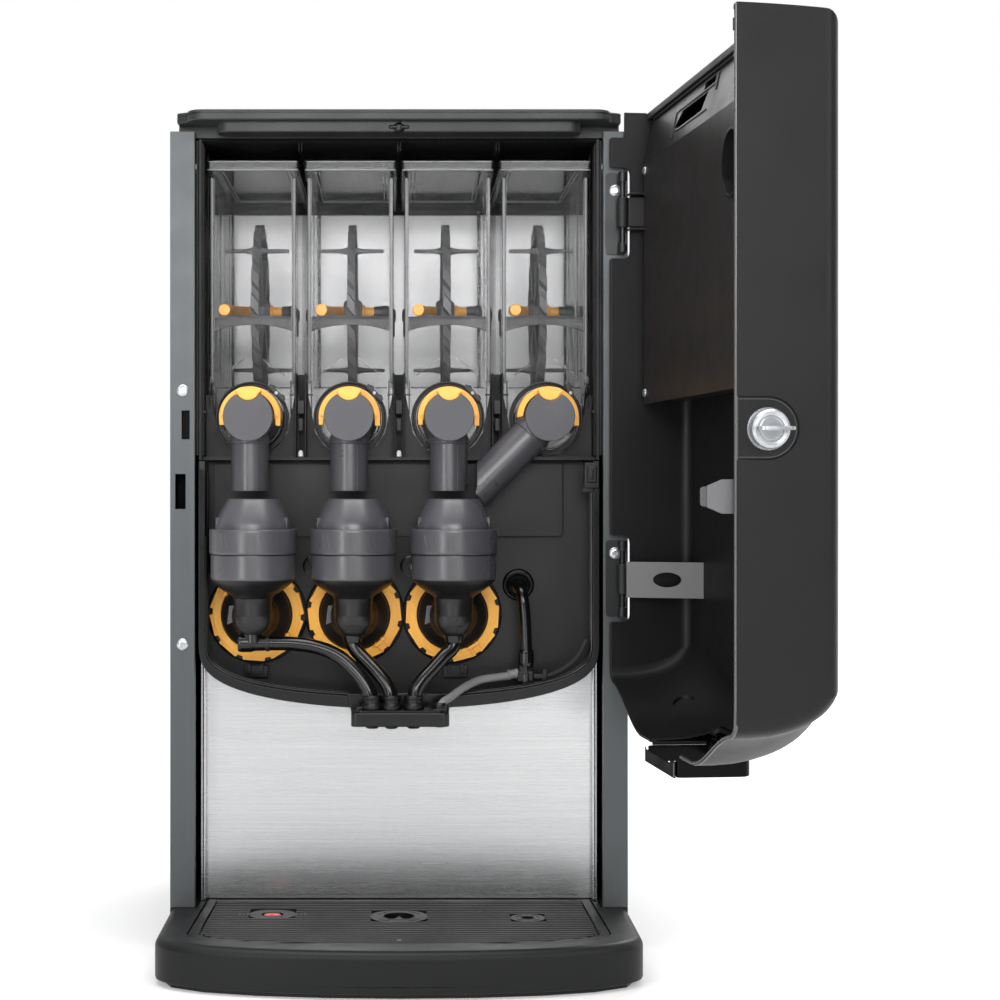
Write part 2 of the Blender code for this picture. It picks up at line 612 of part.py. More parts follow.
def make_bowl(i, cx):
    profile = [(34.6, 369.0), (37.7, 369.0), (37.7, 347.0), (36.4, 345.5), (36.4, 326.0), (12.8, 309.0), (12.8, 300.0),
               (8.0, 300.0), (8.0, 309.5), (32.8, 328.0), (34.6, 346.0)]
    bowl = lathe(profile, (cx, MIX_Y, 0), sides=16)
    chamber = lathe([(0, 12.6), (10.5, 11.4), (14.8, 4.0), (15.0, -37.0), (30.4, -42.0), (30.4, -53.6), (0, -53.6)],
                    (cx, MIX_Y - 1.5, RING_Z), (0, -1, 0), 16, closed=False)
    spigot = cylinder((cx, -17, RING_Z - 10), (cx, -17, 276.9 if i == 1 else 274.9), 6.0, 10)
    combine(bowl, chamber, *([spigot] if i > 1 else []))
    if i == 1:
        bpy.data.objects.remove(spigot, do_unlink=True)
    cut(bowl, cylinder((cx, -20.0, RING_Z), (cx, 60.0, RING_Z), 12.2, 14))
    cut(bowl, cylinder((cx, MIX_Y, RING_Z + 2), (cx, MIX_Y, 309.0), 7.9, 12))
    cut(bowl, cylinder((cx, -17, RING_Z - 4), (cx, -17, 260), 4.2, 8))
    return finish(f"mixer_bowl_{i}", bowl, (90, 90, 92), 0.5, 0.0, (cx, MIX_Y, RING_Z))


def make_bayonet(i, cx):
    pts = []
    for k in range(10):
        a = k * 36.0 + 6
        for r, off in ((42.1, -13), (42.1, 13), (39.4, 14.5), (39.4, 21.5)):
            ang = math.radians(a + off)
            pts.append((cx + r * math.cos(ang), RING_Z + r * math.sin(ang)))
    ring = plate([pts, circle(cx, RING_Z, 31.8, 20)], 29.5, 39.5, "Y")
    return finish(f"bayonet_ring_{i}", ring, (240, 165, 65), 0.45, 0.0, (cx, 34.5, RING_Z))


def impeller_mesh():
    disc = cylinder((0, 0.0, 0), (0, 2.5, 0), 10.4, 12)
    shaft = cylinder((0, -12, 0), (0, 32.0, 0), 3.0, 8)
    combine(disc, shaft)
    for k in range(2):
        blade = box((-10.0, -7.0, -0.9), (10.0, 0.5, 0.9))
        blade.data.transform(Matrix.Rotation(math.radians(90 * k), 4, "Y"))
        combine(disc, blade)
    return disc


# --- door, in the frame of the closed door -------------------------------------------------------
def door_bottom(x):
    """Height of the door's lower edge, across its width."""
    a = abs(x)
    if a <= 80.0:
        return DOOR_CHIN
    t = (a - 80.0) / 120.0
    return DOOR_CHIN + (DOOR_LOW - DOOR_CHIN) * (0.5 - 0.5 * math.cos(math.pi * min(1.0, t))) ** 0.9


def make_door(hinge):
    xs = [-200, -186, -160, -125, -100, -80, -40, 0, 40, 80, 100, 125, 160, 186, 200]
    rings = []
    depths = [0.0, 38.0, 53.0, 65.0, 70.0, 72.0]
    corner = 34.0
    for d in depths:
        past = max(0.0, d - (DOOR_DEEP - corner))
        up = corner - math.sqrt(max(0.0, corner ** 2 - past ** 2))          # round lower front corner
        edge = max(0.0, d - (DOOR_DEEP - 9.0))
        side = 9.0 - math.sqrt(max(0.0, 81.0 - edge ** 2))
        top, bottom = [], []
        for x in xs:
            xx = max(-200 + side, min(200 - side, x))
            y = DOOR_RIM - d - DOOR_BOW * (1 - (xx / 200.0) ** 2) * (d / DOOR_DEEP) ** 2
            top.append((xx, y, DOOR_TOP - side))
            bottom.append((xx, y, door_bottom(xx) + up))
        rings.append((top, bottom))
    bm = bmesh.new()
    grid = []
    for top, bottom in rings:
        loop = [bm.verts.new(Vector(p) * MM) for p in top] + [bm.verts.new(Vector(p) * MM) for p in reversed(bottom)]
        grid.append(loop)
    count = len(grid[0])
    for a, b in zip(grid, grid[1:]):
        for k in range(count):
            m = (k + 1) % count
            bm.faces.new((a[k], a[m], b[m], b[k]))
    last, n = grid[-1], len(xs)
    for k in range(n - 1):
        bm.faces.new((last[k], last[k + 1], last[count - 2 - k], last[count - 1 - k]))
    bmesh.ops.recalc_face_normals(bm, faces=bm.faces)
    mesh = bpy.data.meshes.new("door")
    bm.to_mesh(mesh)
    bm.free()
    skin = to_object(mesh)
    solid = skin.modifiers.new("Solidify", "SOLIDIFY")
    solid.thickness = DOOR_T * MM
    solid.offset = -1.0
    solid.use_even_offset = True
    replace_mesh(skin, evaluated_mesh(skin))
    tidy(skin.data, turn_out=True)

    cut(skin, box((-196.6, -35, 709), (196.6, 5, 740)))                      # room for the top cover's lip
    cut(skin, box((195.0, -14.5, 709), (210, 5, 740)))                       # and for its corner, as the door swings
    cut(skin, cylinder((130, -50, 200), (130, -50, 240), 9.0, 14))           # drain hole
    cut(skin, box((-47.4, -58.4, 195), (47.4, 5, 215)))                      # room for the outlet block
    cut(skin, cylinder((-205, -25, 444.7), (-190, -25, 444.7), 10.2, 16))    # lock
    for z0, z1 in ((604, 683), (288, 363)):
        cut(skin, box((186, -19.5, z0), (206, 5, z1), 0.0))                  # hinge cut-outs
        zm = (z0 + z1) / 2
        lug = box((189.4, -37, zm - 13), (198.6, -7.4, zm + 13))
        combine(skin, lug)
        cut(skin, cylinder((DOOR_HINGE[0], DOOR_HINGE[1], zm - 20), (DOOR_HINGE[0], DOOR_HINGE[1], zm + 20), 3.1, 10))
    arm = plate([[(190.5, -14.0), (188.9, -14.0), (163.6, -76.0), (165.2, -77.2)]], 310.0, 340.5)
    cut(arm, cylinder((140, -47.0, 325.2), (210, -47.0, 325.2), 7.0, 14))   # stiffening arm from the lower hinge
    combine(skin, arm)
    latch_root = box((-198.5, -30, 388.5), (-188.8, -6, 410))
    latch = plate([[(-10, 389), (-10, 409.4), (16, 409.4), (20, 405), (20, 393.4), (16, 389)]], -193.0, -188.8, "X")
    combine(skin, latch_root, latch)
    return finish("door_shell", skin, (72, 72, 72), 0.45, 0.0, (*DOOR_HINGE, 0), hinge)


def make_control_cover(hinge):
    cover = box((-190, -31.2, 480), (187, -29.2, 685))
    lower = box((-190, -66, 480), (187, -30, 482))
    upper = plate([[(-31.2, 682), (-29.2, 684), (-37.4, 722), (-66, 726.4), (-66, 724.4), (-39.0, 720.2)]], -190, 187, "X")
    combine(cover, lower, upper)
    cut(cover, cylinder((-93, -40, 641), (-93, -20, 641), 24.0, 24))
    return finish("control_box_cover", cover, (45, 42, 40), 0.3, 0.0, (0, -30, 480), hinge)


def make_spout_cover(hinge):
    outer = rect(-47, -58, 47, 3, 9, 4)
    ring = plate([outer], 188.0, 206.0)
    apply_bevel(ring, 0.8, 1, 60)
    cut(ring, plate([rect(-44.4, -55.4, 44.4, 14, 7, 3)], 175.0, 210.0))
    cut(ring, box((-60, -47.4, 200.6), (60, 10, 215)))                       # low sides, under the outlet block
    return finish("spout_cover", ring, (20, 20, 20), 0.12, 0.0, (0, -30, 188), hinge)


def make_lock(hinge):
    axis_y, axis_z = -25.0, 444.7
    head = lathe([(0, 8.0), (11.6, 8.0), (13.0, 6.6), (13.0, 0.4), (9.6, 0.4), (9.6, -16.5), (0, -16.5)],
                 (-200, axis_y, axis_z), (-1, 0, 0), 18, closed=False)
    shape = [(-12, 31), (-4, 31), (-4, 10), (6, 5), (7, -7), (-6, -7), (-12, 2)]
    cam = plate([[(axis_y + u, axis_z + v) for u, v in shape]], -187.6, -184.6, "X")
    key = plate([rect(axis_y - 13, axis_z - 1.4, axis_y + 13, axis_z + 1.4)], -224.0, -205.0, "X")
    combine(head, cam, key)
    return finish("lock_cylinder", head, (225, 226, 228), 0.2, 1.0, (-200, axis_y, axis_z), hinge)


def make_hinges():
    for name, z0, z1 in (("hinge_leaf_upper", 608.0, 679.0), ("hinge_leaf_lower", 292.0, 359.0)):
        x, y = DOOR_HINGE
        leaf = plate([rect(180.2, z0, 199.0, z1)], -2.0, -0.4, "Y")
        for a, b in ((z0, z0 + 7), (z1 - 7, z1)):
            combine(leaf, box((x - 4, y - 3.6, a), (x + 4, -1.0, b)))
        combine(leaf, cylinder((x, y, z0 + 1.0), (x, y, z1 - 1.0), 2.6, 10))
        finish(name, leaf, (150, 152, 154), 0.35, 0.9, (x, y, z0))


# --- drip tray -----------------------------------------------------------------------------------
def grille_outline(inset=0.0):
    pts = [(-170 + inset, 36.4 - inset), (-174 + inset, TRAY_SIDE_Y + 8)]
    for i in range(1, 10):
        a = math.pi * i / 10
        pts.append((-(174 - inset) * math.cos(a), TRAY_SIDE_Y + 8 + (-144 + inset - TRAY_SIDE_Y - 8) * math.sin(a) ** 0.8))
    return pts + [(174 - inset, TRAY_SIDE_Y + 8), (170 - inset, 36.4 - inset)]


def make_tray():
    bow = bow_outline(200, TRAY_SIDE_Y, TRAY_FRONT, -0.5)
    tub = plate([bow], 4.0, GRILLE_Z + 0.4)
    apply_bevel(tub, 7.0, 3, 60)
    # only the upper outer edge is rounded: the lower one is made square again
    low = plate([bow], 4.0, 14.0)
    back = plate([rect(-177.3, -20.0, 177.3, 37.4)], 4.0, GRILLE_Z + 0.4)
    combine(tub, low, back)
    cut(tub, plate([grille_outline(-0.5)], GRILLE_Z - 4.2, GRILLE_Z + 5))
    cut(tub, plate([grille_outline(4.0)], 7.0, GRILLE_Z + 5))
    return finish("drip_tray", tub, (40, 40, 40), 0.45, 0.0, (0, 0, 4))


def make_grille():
    slab = plate([grille_outline(0.3)], GRILLE_Z - 3.8, GRILLE_Z)
    slots = []
    y = 30.0
    while y > -128:
        half = 160.0 if y > -95 else 160.0 - (-95 - y) * 1.1
        blocked = []
        if -52 < y < -12:
            blocked = [(-127, -91), (-24, 24), (96, 124)]
        spans, at = [], -half
        for a, b in blocked:
            spans.append((at, a))
            at = b
        spans.append((at, half))
        for a, b in spans:
            slots.append(box((a, y - 2.2, 20), (b, y + 2.2, 50)))
        y -= 14.0
    cut(slab, *slots)
    cut(slab, cylinder((0, -32, 20), (0, -32, 50), 13.0, 14), cylinder((110, -38, 20), (110, -38, 50), 5.0, 8))
    cut(slab, plate([rect(-117.5, -29.5, -100.5, -18.5, 5.4, 2)], 20, 50))
    return finish("drip_grille", slab, (58, 58, 58), 0.4, 0.0, (0, 0, GRILLE_Z))


def make_float():
    stem = plate([rect(-116.2, -28.2, -101.8, -19.8, 4.1, 2)], 12.0, GRILLE_Z - 0.4)
    foot = box((-124, -36, 8.0), (-94, -12, 15.0))
    return finish("level_float", combine(stem, foot), (226, 52, 36), 0.4, 0.0, (-109, -24, 8))


# --- build ---------------------------------------------------------------------------------------
make_base()
make_wrap()
make_top()
make_shelf()
make_bay_back()
make_mixer_wall()
make_splash()
make_outlet_block()
make_hoses()
make_hot_water_pipe()
make_boiler()
make_drives()
make_hinges()

wheel = wheel_mesh()
auger = auger_mesh()
for i, cx in enumerate(CAN_X, 1):
    make_canister(i, cx)
    make_lid(cx, i)
    make_elbow(i, cx)
    make_locking_ring(i, cx)
    shape = to_object(wheel.data.copy())
    shape.data.transform(Matrix.Translation((cx * MM, 0, 0)))
    finish(f"agitator_wheel_{i}", shape, (84, 84, 86), 0.5, 0.0, (cx, WHEEL_Y, WHEEL_Z))
    shape = to_object(auger.data.copy())
    # the auger's own axis, Z, is laid along Y, and its flight starts at the top
    lay = Matrix(((0, 1, 0, 0), (0, 0, 1, 0), (1, 0, 0, 0), (0, 0, 0, 1)))
    shape.data.transform(Matrix.Translation((cx * MM, AUGER_START * MM, OUT_Z * MM)) @ lay)
    finish(f"auger_{i}", shape, (70, 70, 72), 0.5, 0.0, (cx, CAN_Y0, OUT_Z))
bpy.data.objects.remove(wheel, do_unlink=True)
bpy.data.objects.remove(auger, do_unlink=True)

impeller = impeller_mesh()
for i, cx in enumerate(MIX_X, 1):
    make_funnel(i, cx)
    make_bowl(i, cx)
    make_bayonet(i, cx)
    shape = to_object(impeller.data.copy())
    shape.data.transform(Matrix.Translation((cx * MM, 8 * MM, RING_Z * MM)))
    finish(f"mixer_impeller_{i}", shape, (110, 110, 112), 0.4, 0.0, (cx, 8, RING_Z))
bpy.data.objects.remove(impeller, do_unlink=True)

door_pivot = pivot("door_hinge_axis", (*DOOR_HINGE, 0.0), DOOR_OPEN)
make_door(door_pivot)
make_control_cover(door_pivot)
make_spout_cover(door_pivot)
make_lock(door_pivot)
make_tray()
make_grille()
make_float()
work.hide_render = True
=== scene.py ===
import math
import random

import bmesh
import bpy
from mathutils import Matrix, Vector


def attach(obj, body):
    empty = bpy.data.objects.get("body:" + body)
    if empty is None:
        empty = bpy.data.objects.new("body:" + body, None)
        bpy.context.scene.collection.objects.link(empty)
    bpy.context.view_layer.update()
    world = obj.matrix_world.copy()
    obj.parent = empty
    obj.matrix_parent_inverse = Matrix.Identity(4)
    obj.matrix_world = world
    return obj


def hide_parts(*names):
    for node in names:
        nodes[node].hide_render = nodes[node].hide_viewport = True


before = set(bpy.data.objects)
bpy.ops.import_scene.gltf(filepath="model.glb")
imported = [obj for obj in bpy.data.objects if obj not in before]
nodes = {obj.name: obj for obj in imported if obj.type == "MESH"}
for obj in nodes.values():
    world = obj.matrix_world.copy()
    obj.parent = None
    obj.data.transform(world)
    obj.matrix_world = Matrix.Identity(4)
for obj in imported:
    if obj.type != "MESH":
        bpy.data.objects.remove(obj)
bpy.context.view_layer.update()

MM = 0.001
scene = bpy.context.scene
random.seed(7)

# ------------------------------------------------------------------------------------------------
# Dimensions in millimetres, in the frame of the CAD: X right, Y into the cabinet, Z up
# ------------------------------------------------------------------------------------------------
CAN_X = [-130.5, -43.5, 43.5, 130.5]
MIX_X = [-126.5, -39.5, 47.5]
OUT_Z = 466.4
RING_Z = 291.9
MIX_Y = -15.0
WHEEL_Y, WHEEL_Z, WHEEL_R, WHEEL_TEETH = 140.0, 570.0, 82.0, 20
CAB_D = 335.0
HINGE = (194.0, -12.0)
DOOR_TURN = math.radians(96.0)

# ------------------------------------------------------------------------------------------------
# Camera, light and floor
# ------------------------------------------------------------------------------------------------
camera_data = bpy.data.cameras.new("camera")
camera_data.lens = 71.5
camera_data.sensor_width = 36.0
camera_data.shift_x = 0.101
camera_data.shift_y = -0.015
camera = bpy.data.objects.new("camera", camera_data)
camera.location = (0.0, -1.7354, 0.407)
camera.rotation_euler = (math.radians(90.0), 0.0, 0.0)
scene.collection.objects.link(camera)
scene.camera = camera

scene.view_settings.view_transform = "Standard"
scene.view_settings.look = "None"
scene.view_settings.exposure = 0.0
if hasattr(scene, "cycles"):
    scene.cycles.transparent_max_bounces = 32      # many clear walls lie behind each other

world = bpy.data.worlds.new("studio")
scene.world = world
world.use_nodes = True
wn = world.node_tree
wn.nodes.clear()
w_out = wn.nodes.new("ShaderNodeOutputWorld")
w_bg = wn.nodes.new("ShaderNodeBackground")
w_bg.inputs["Color"].default_value = (1.0, 1.0, 1.0, 1.0)
w_co = wn.nodes.new("ShaderNodeTexCoord")
w_sep = wn.nodes.new("ShaderNodeSeparateXYZ")
w_ramp = wn.nodes.new("ShaderNodeMapRange")
w_ramp.inputs["From Min"].default_value = 0.25
w_ramp.inputs["From Max"].default_value = 0.6
w_side = wn.nodes.new("ShaderNodeMapRange")          # the backdrop is bright, the room in front of it dim
w_side.inputs["From Min"].default_value = -0.15
w_side.inputs["From Max"].default_value = 0.15
w_side.inputs["To Min"].default_value = 0.04
w_side.inputs["To Max"].default_value = 0.55
w_fill = wn.nodes.new("ShaderNodeMix")
w_fill.data_type = "FLOAT"
w_fill.inputs["B"].default_value = 0.6
wn.links.new(w_co.outputs["Generated"], w_sep.inputs["Vector"])
wn.links.new(w_sep.outputs["Z"], w_ramp.inputs["Value"])
wn.links.new(w_sep.outputs["Y"], w_side.inputs["Value"])
wn.links.new(w_ramp.outputs["Result"], w_fill.inputs["Factor"])
wn.links.new(w_side.outputs["Result"], w_fill.inputs["A"])
w_lp = wn.nodes.new("ShaderNodeLightPath")
w_mix = wn.nodes.new("ShaderNodeMix")
w_mix.data_type = "FLOAT"
wn.links.new(w_lp.outputs["Is Camera Ray"], w_mix.inputs["Factor"])
wn.links.new(w_fill.outputs["Result"], w_mix.inputs["A"])
w_mix.inputs["B"].default_value = 1.0
wn.links.new(w_mix.outputs["Result"], w_bg.inputs["Strength"])
wn.links.new(w_bg.outputs["Background"], w_out.inputs["Surface"])


def area_light(name, place, target, size, power, size_y=None, spread=180.0):
    data = bpy.data.lights.new(name, "AREA")
    data.energy = power
    data.shape = "RECTANGLE"
    data.size = size
    data.size_y = size_y or size
    data.spread = math.radians(spread)
    light = bpy.data.objects.new(name, data)
    light.location = place
    aim = Vector(target) - Vector(place)
    light.rotation_euler = aim.to_track_quat("-Z", "Y").to_euler()
    light.visible_camera = False
    scene.collection.objects.link(light)
    return light


area_light("top", (0.0, -0.45, 1.95), (0.0, 0.0, 0.4), 1.9, 31.0, 1.1)
area_light("left", (-1.5, -1.5, 1.25), (0.0, 0.0, 0.45), 0.9, 4.0, 1.2)
area_light("right", (1.5, -1.5, 1.15), (0.1, -0.1, 0.45), 0.7, 9.5, 1.2)
area_light("front", (0.0, -2.3, 1.15), (0.0, 0.0, 0.45), 1.4, 15.5, 0.5)
area_light("front_bay", (0.0, -1.75, 0.74), (-0.02, 0.27, 0.58), 0.7, 0.29, 0.3, spread=34.0)
area_light("strip_left", (-0.95, -1.7, 0.55), (0.0, 0.0, 0.42), 0.16, 8.0, 1.3)
area_light("strip_right", (0.55, -2.0, 0.5), (0.0, 0.0, 0.42), 0.1, 2.6, 1.2)
area_light("rim", (1.7, 0.75, 0.6), (0.25, -0.25, 0.4), 0.5, 5.0, 1.4)
area_light("back", (0.4, 1.9, 1.6), (0.0, 0.2, 0.4), 1.6, 32.0, 1.0)

floor_mesh = bpy.data.meshes.new("floor")
fb = bmesh.new()
bmesh.ops.create_circle(fb, cap_ends=True, segments=96, radius=9.0)
fb.to_mesh(floor_mesh)
fb.free()
floor = bpy.data.objects.new("floor", floor_mesh)
floor.location = (0.0, 0.0, -0.0005)
scene.collection.objects.link(floor)
floor_mat = bpy.data.materials.new("floor")
floor_mat.use_nodes = True
fs = floor_mat.node_tree.nodes["Principled BSDF"]
fs.inputs["Base Color"].default_value = (0.6, 0.6, 0.6, 1.0)
fs.inputs["Roughness"].default_value = 0.8
fs.inputs["Specular IOR Level"].default_value = 0.1
fs.inputs["Emission Color"].default_value = (1.0, 1.0, 1.0, 1.0)
# the floor glows softly, and more away from the machine
f_map = floor_mat.node_tree.nodes.new("ShaderNodeTexCoord")
f_len = floor_mat.node_tree.nodes.new("ShaderNodeVectorMath")
f_len.operation = "LENGTH"
f_glow = floor_mat.node_tree.nodes.new("ShaderNodeMapRange")
f_glow.inputs["From Min"].default_value = 0.4
f_glow.inputs["From Max"].default_value = 2.4
f_glow.inputs["To Min"].default_value = 0.3
f_glow.inputs["To Max"].default_value = 0.8
floor_mat.node_tree.links.new(f_map.outputs["Object"], f_len.inputs[0])
floor_mat.node_tree.links.new(f_len.outputs["Value"], f_glow.inputs["Value"])
floor_mat.node_tree.links.new(f_glow.outputs["Result"], fs.inputs["Emission Strength"])
floor_mesh.materials.append(floor_mat)


# ------------------------------------------------------------------------------------------------
# Materials
# ------------------------------------------------------------------------------------------------
def srgb(r, g, b):
    def one(c):
        c /= 255.0
        return c / 12.92 if c <= 0.04045 else ((c + 0.055) / 1.055) ** 2.4
    return (one(r), one(g), one(b), 1.0)


def tree_of(name):
    mat = bpy.data.materials.new(name)
    mat.use_nodes = True
    return mat, mat.node_tree, mat.node_tree.nodes["Principled BSDF"]


def coords(nt, scale=(1.0, 1.0, 1.0)):
    tex = nt.nodes.new("ShaderNodeTexCoord")
    mapping = nt.nodes.new("ShaderNodeMapping")
    mapping.inputs["Scale"].default_value = scale
    nt.links.new(tex.outputs["Object"], mapping.inputs["Vector"])
    return mapping.outputs["Vector"]


def noise(nt, vector, scale, detail=3.0, rough=0.55):
    n = nt.nodes.new("ShaderNodeTexNoise")
    n.inputs["Scale"].default_value = scale
    n.inputs["Detail"].default_value = detail
    n.inputs["Roughness"].default_value = rough
    nt.links.new(vector, n.inputs["Vector"])
    return n.outputs["Fac"]


def span(nt, value, lo, hi, a=0.3, b=0.7):
    m = nt.nodes.new("ShaderNodeMapRange")
    m.inputs["From Min"].default_value = a
    m.inputs["From Max"].default_value = b
    m.inputs["To Min"].default_value = lo
    m.inputs["To Max"].default_value = hi
    nt.links.new(value, m.inputs["Value"])
    return m.outputs["Result"]


def bump(nt, shader, height, strength, distance, normal=None):
    b = nt.nodes.new("ShaderNodeBump")
    b.inputs["Strength"].default_value = strength
    b.inputs["Distance"].default_value = distance
    nt.links.new(height, b.inputs["Height"])
    if normal is not None:
        nt.links.new(normal, b.inputs["Normal"])
    nt.links.new(b.outputs["Normal"], shader.inputs["Normal"])
    return b.outputs["Normal"]


def tint(nt, value, dark, light):
    m = nt.nodes.new("ShaderNodeMix")
    m.data_type = "RGBA"
    nt.links.new(value, m.inputs["Factor"])
    m.inputs["A"].default_value = dark
    m.inputs["B"].default_value = light
    return m.outputs["Result"]


def shade(colour, factor):
    return (*[max(0.0, min(1.0, c * factor)) for c in colour[:3]], 1.0)


def plastic(name, colour, rough=(0.38, 0.5), grain=1400.0, grain_strength=0.12, vary=0.12, coat=0.0, specular=0.5):
    """Moulded plastic: a fine spark-eroded grain, and slow changes of gloss and tone."""
    mat, nt, shader = tree_of(name)
    vec = coords(nt)
    slow = noise(nt, vec, 9.0, 3.0)
    nt.links.new(tint(nt, slow, shade(colour, 1 - vary), shade(colour, 1 + vary)), shader.inputs["Base Color"])
    nt.links.new(span(nt, noise(nt, vec, 23.0, 4.0), rough[0], rough[1]), shader.inputs["Roughness"])
    if grain_strength:
        bump(nt, shader, noise(nt, vec, grain, 2.0, 0.5), grain_strength, 0.00012)
    shader.inputs["Specular IOR Level"].default_value = specular
    if coat:
        shader.inputs["Coat Weight"].default_value = coat
        shader.inputs["Coat Roughness"].default_value = 0.12
    return mat


def brushed(name, colour, axis="X", rough=(0.24, 0.36), metal=1.0, strength=0.16, streak=0.05):
    """Brushed sheet metal with streaks along one axis."""
    mat, nt, shader = tree_of(name)
    fine = {"X": (6.0, 900.0, 900.0), "Y": (900.0, 6.0, 900.0), "Z": (900.0, 900.0, 6.0)}[axis]
    broad = {"X": (1.4, 120.0, 120.0), "Y": (120.0, 1.4, 120.0), "Z": (120.0, 120.0, 1.4)}[axis]
    lines = noise(nt, coords(nt, fine), 1.0, 3.0, 0.6)
    bands = noise(nt, coords(nt, broad), 1.0, 2.0, 0.5)
    nt.links.new(tint(nt, bands, shade(colour, 1 - streak), shade(colour, 1 + streak)), shader.inputs["Base Color"])
    nt.links.new(span(nt, lines, rough[0], rough[1]), shader.inputs["Roughness"])
    bump(nt, shader, lines, strength, 0.00006)
    shader.inputs["Metallic"].default_value = metal
    return mat


def painted(name, colour, metal=0.35, rough=(0.3, 0.4), orange_peel=0.1):
    """Powder-coated sheet with a fine orange peel and metallic flecks."""
    mat, nt, shader = tree_of(name)
    vec = coords(nt)
    fleck = noise(nt, vec, 2600.0, 1.0)
    nt.links.new(tint(nt, fleck, shade(colour, 0.9), shade(colour, 1.1)), shader.inputs["Base Color"])
    nt.links.new(span(nt, noise(nt, vec, 40.0, 3.0), rough[0], rough[1]), shader.inputs["Roughness"])
    bump(nt, shader, noise(nt, vec, 700.0, 2.0), orange_peel, 0.00015)
    shader.inputs["Metallic"].default_value = metal
    return mat


def clear(name, colour, face_alpha, edge_alpha, rough=0.04, power=2.2):
    """Clear plastic: almost open face on, greyer where it is seen along its surface."""
    mat, nt, shader = tree_of(name)
    layer = nt.nodes.new("ShaderNodeLayerWeight")
    layer.inputs["Blend"].default_value = 0.5
    lift = nt.nodes.new("ShaderNodeMath")
    lift.operation = "POWER"
    nt.links.new(layer.outputs["Facing"], lift.inputs[0])
    lift.inputs[1].default_value = power
    alpha = span(nt, lift.outputs["Value"], face_alpha, edge_alpha, 0.0, 1.0)
    haze = span(nt, noise(nt, coords(nt), 30.0, 4.0), -0.015, 0.02)
    add = nt.nodes.new("ShaderNodeMath")
    add.operation = "ADD"
    add.use_clamp = True
    nt.links.new(alpha, add.inputs[0])
    nt.links.new(haze, add.inputs[1])
    nt.links.new(add.outputs["Value"], shader.inputs["Alpha"])
    shader.inputs["Base Color"].default_value = colour
    nt.links.new(span(nt, noise(nt, coords(nt), 60.0, 3.0), rough, rough + 0.06), shader.inputs["Roughness"])
    shader.inputs["Specular IOR Level"].default_value = 0.6
    return mat


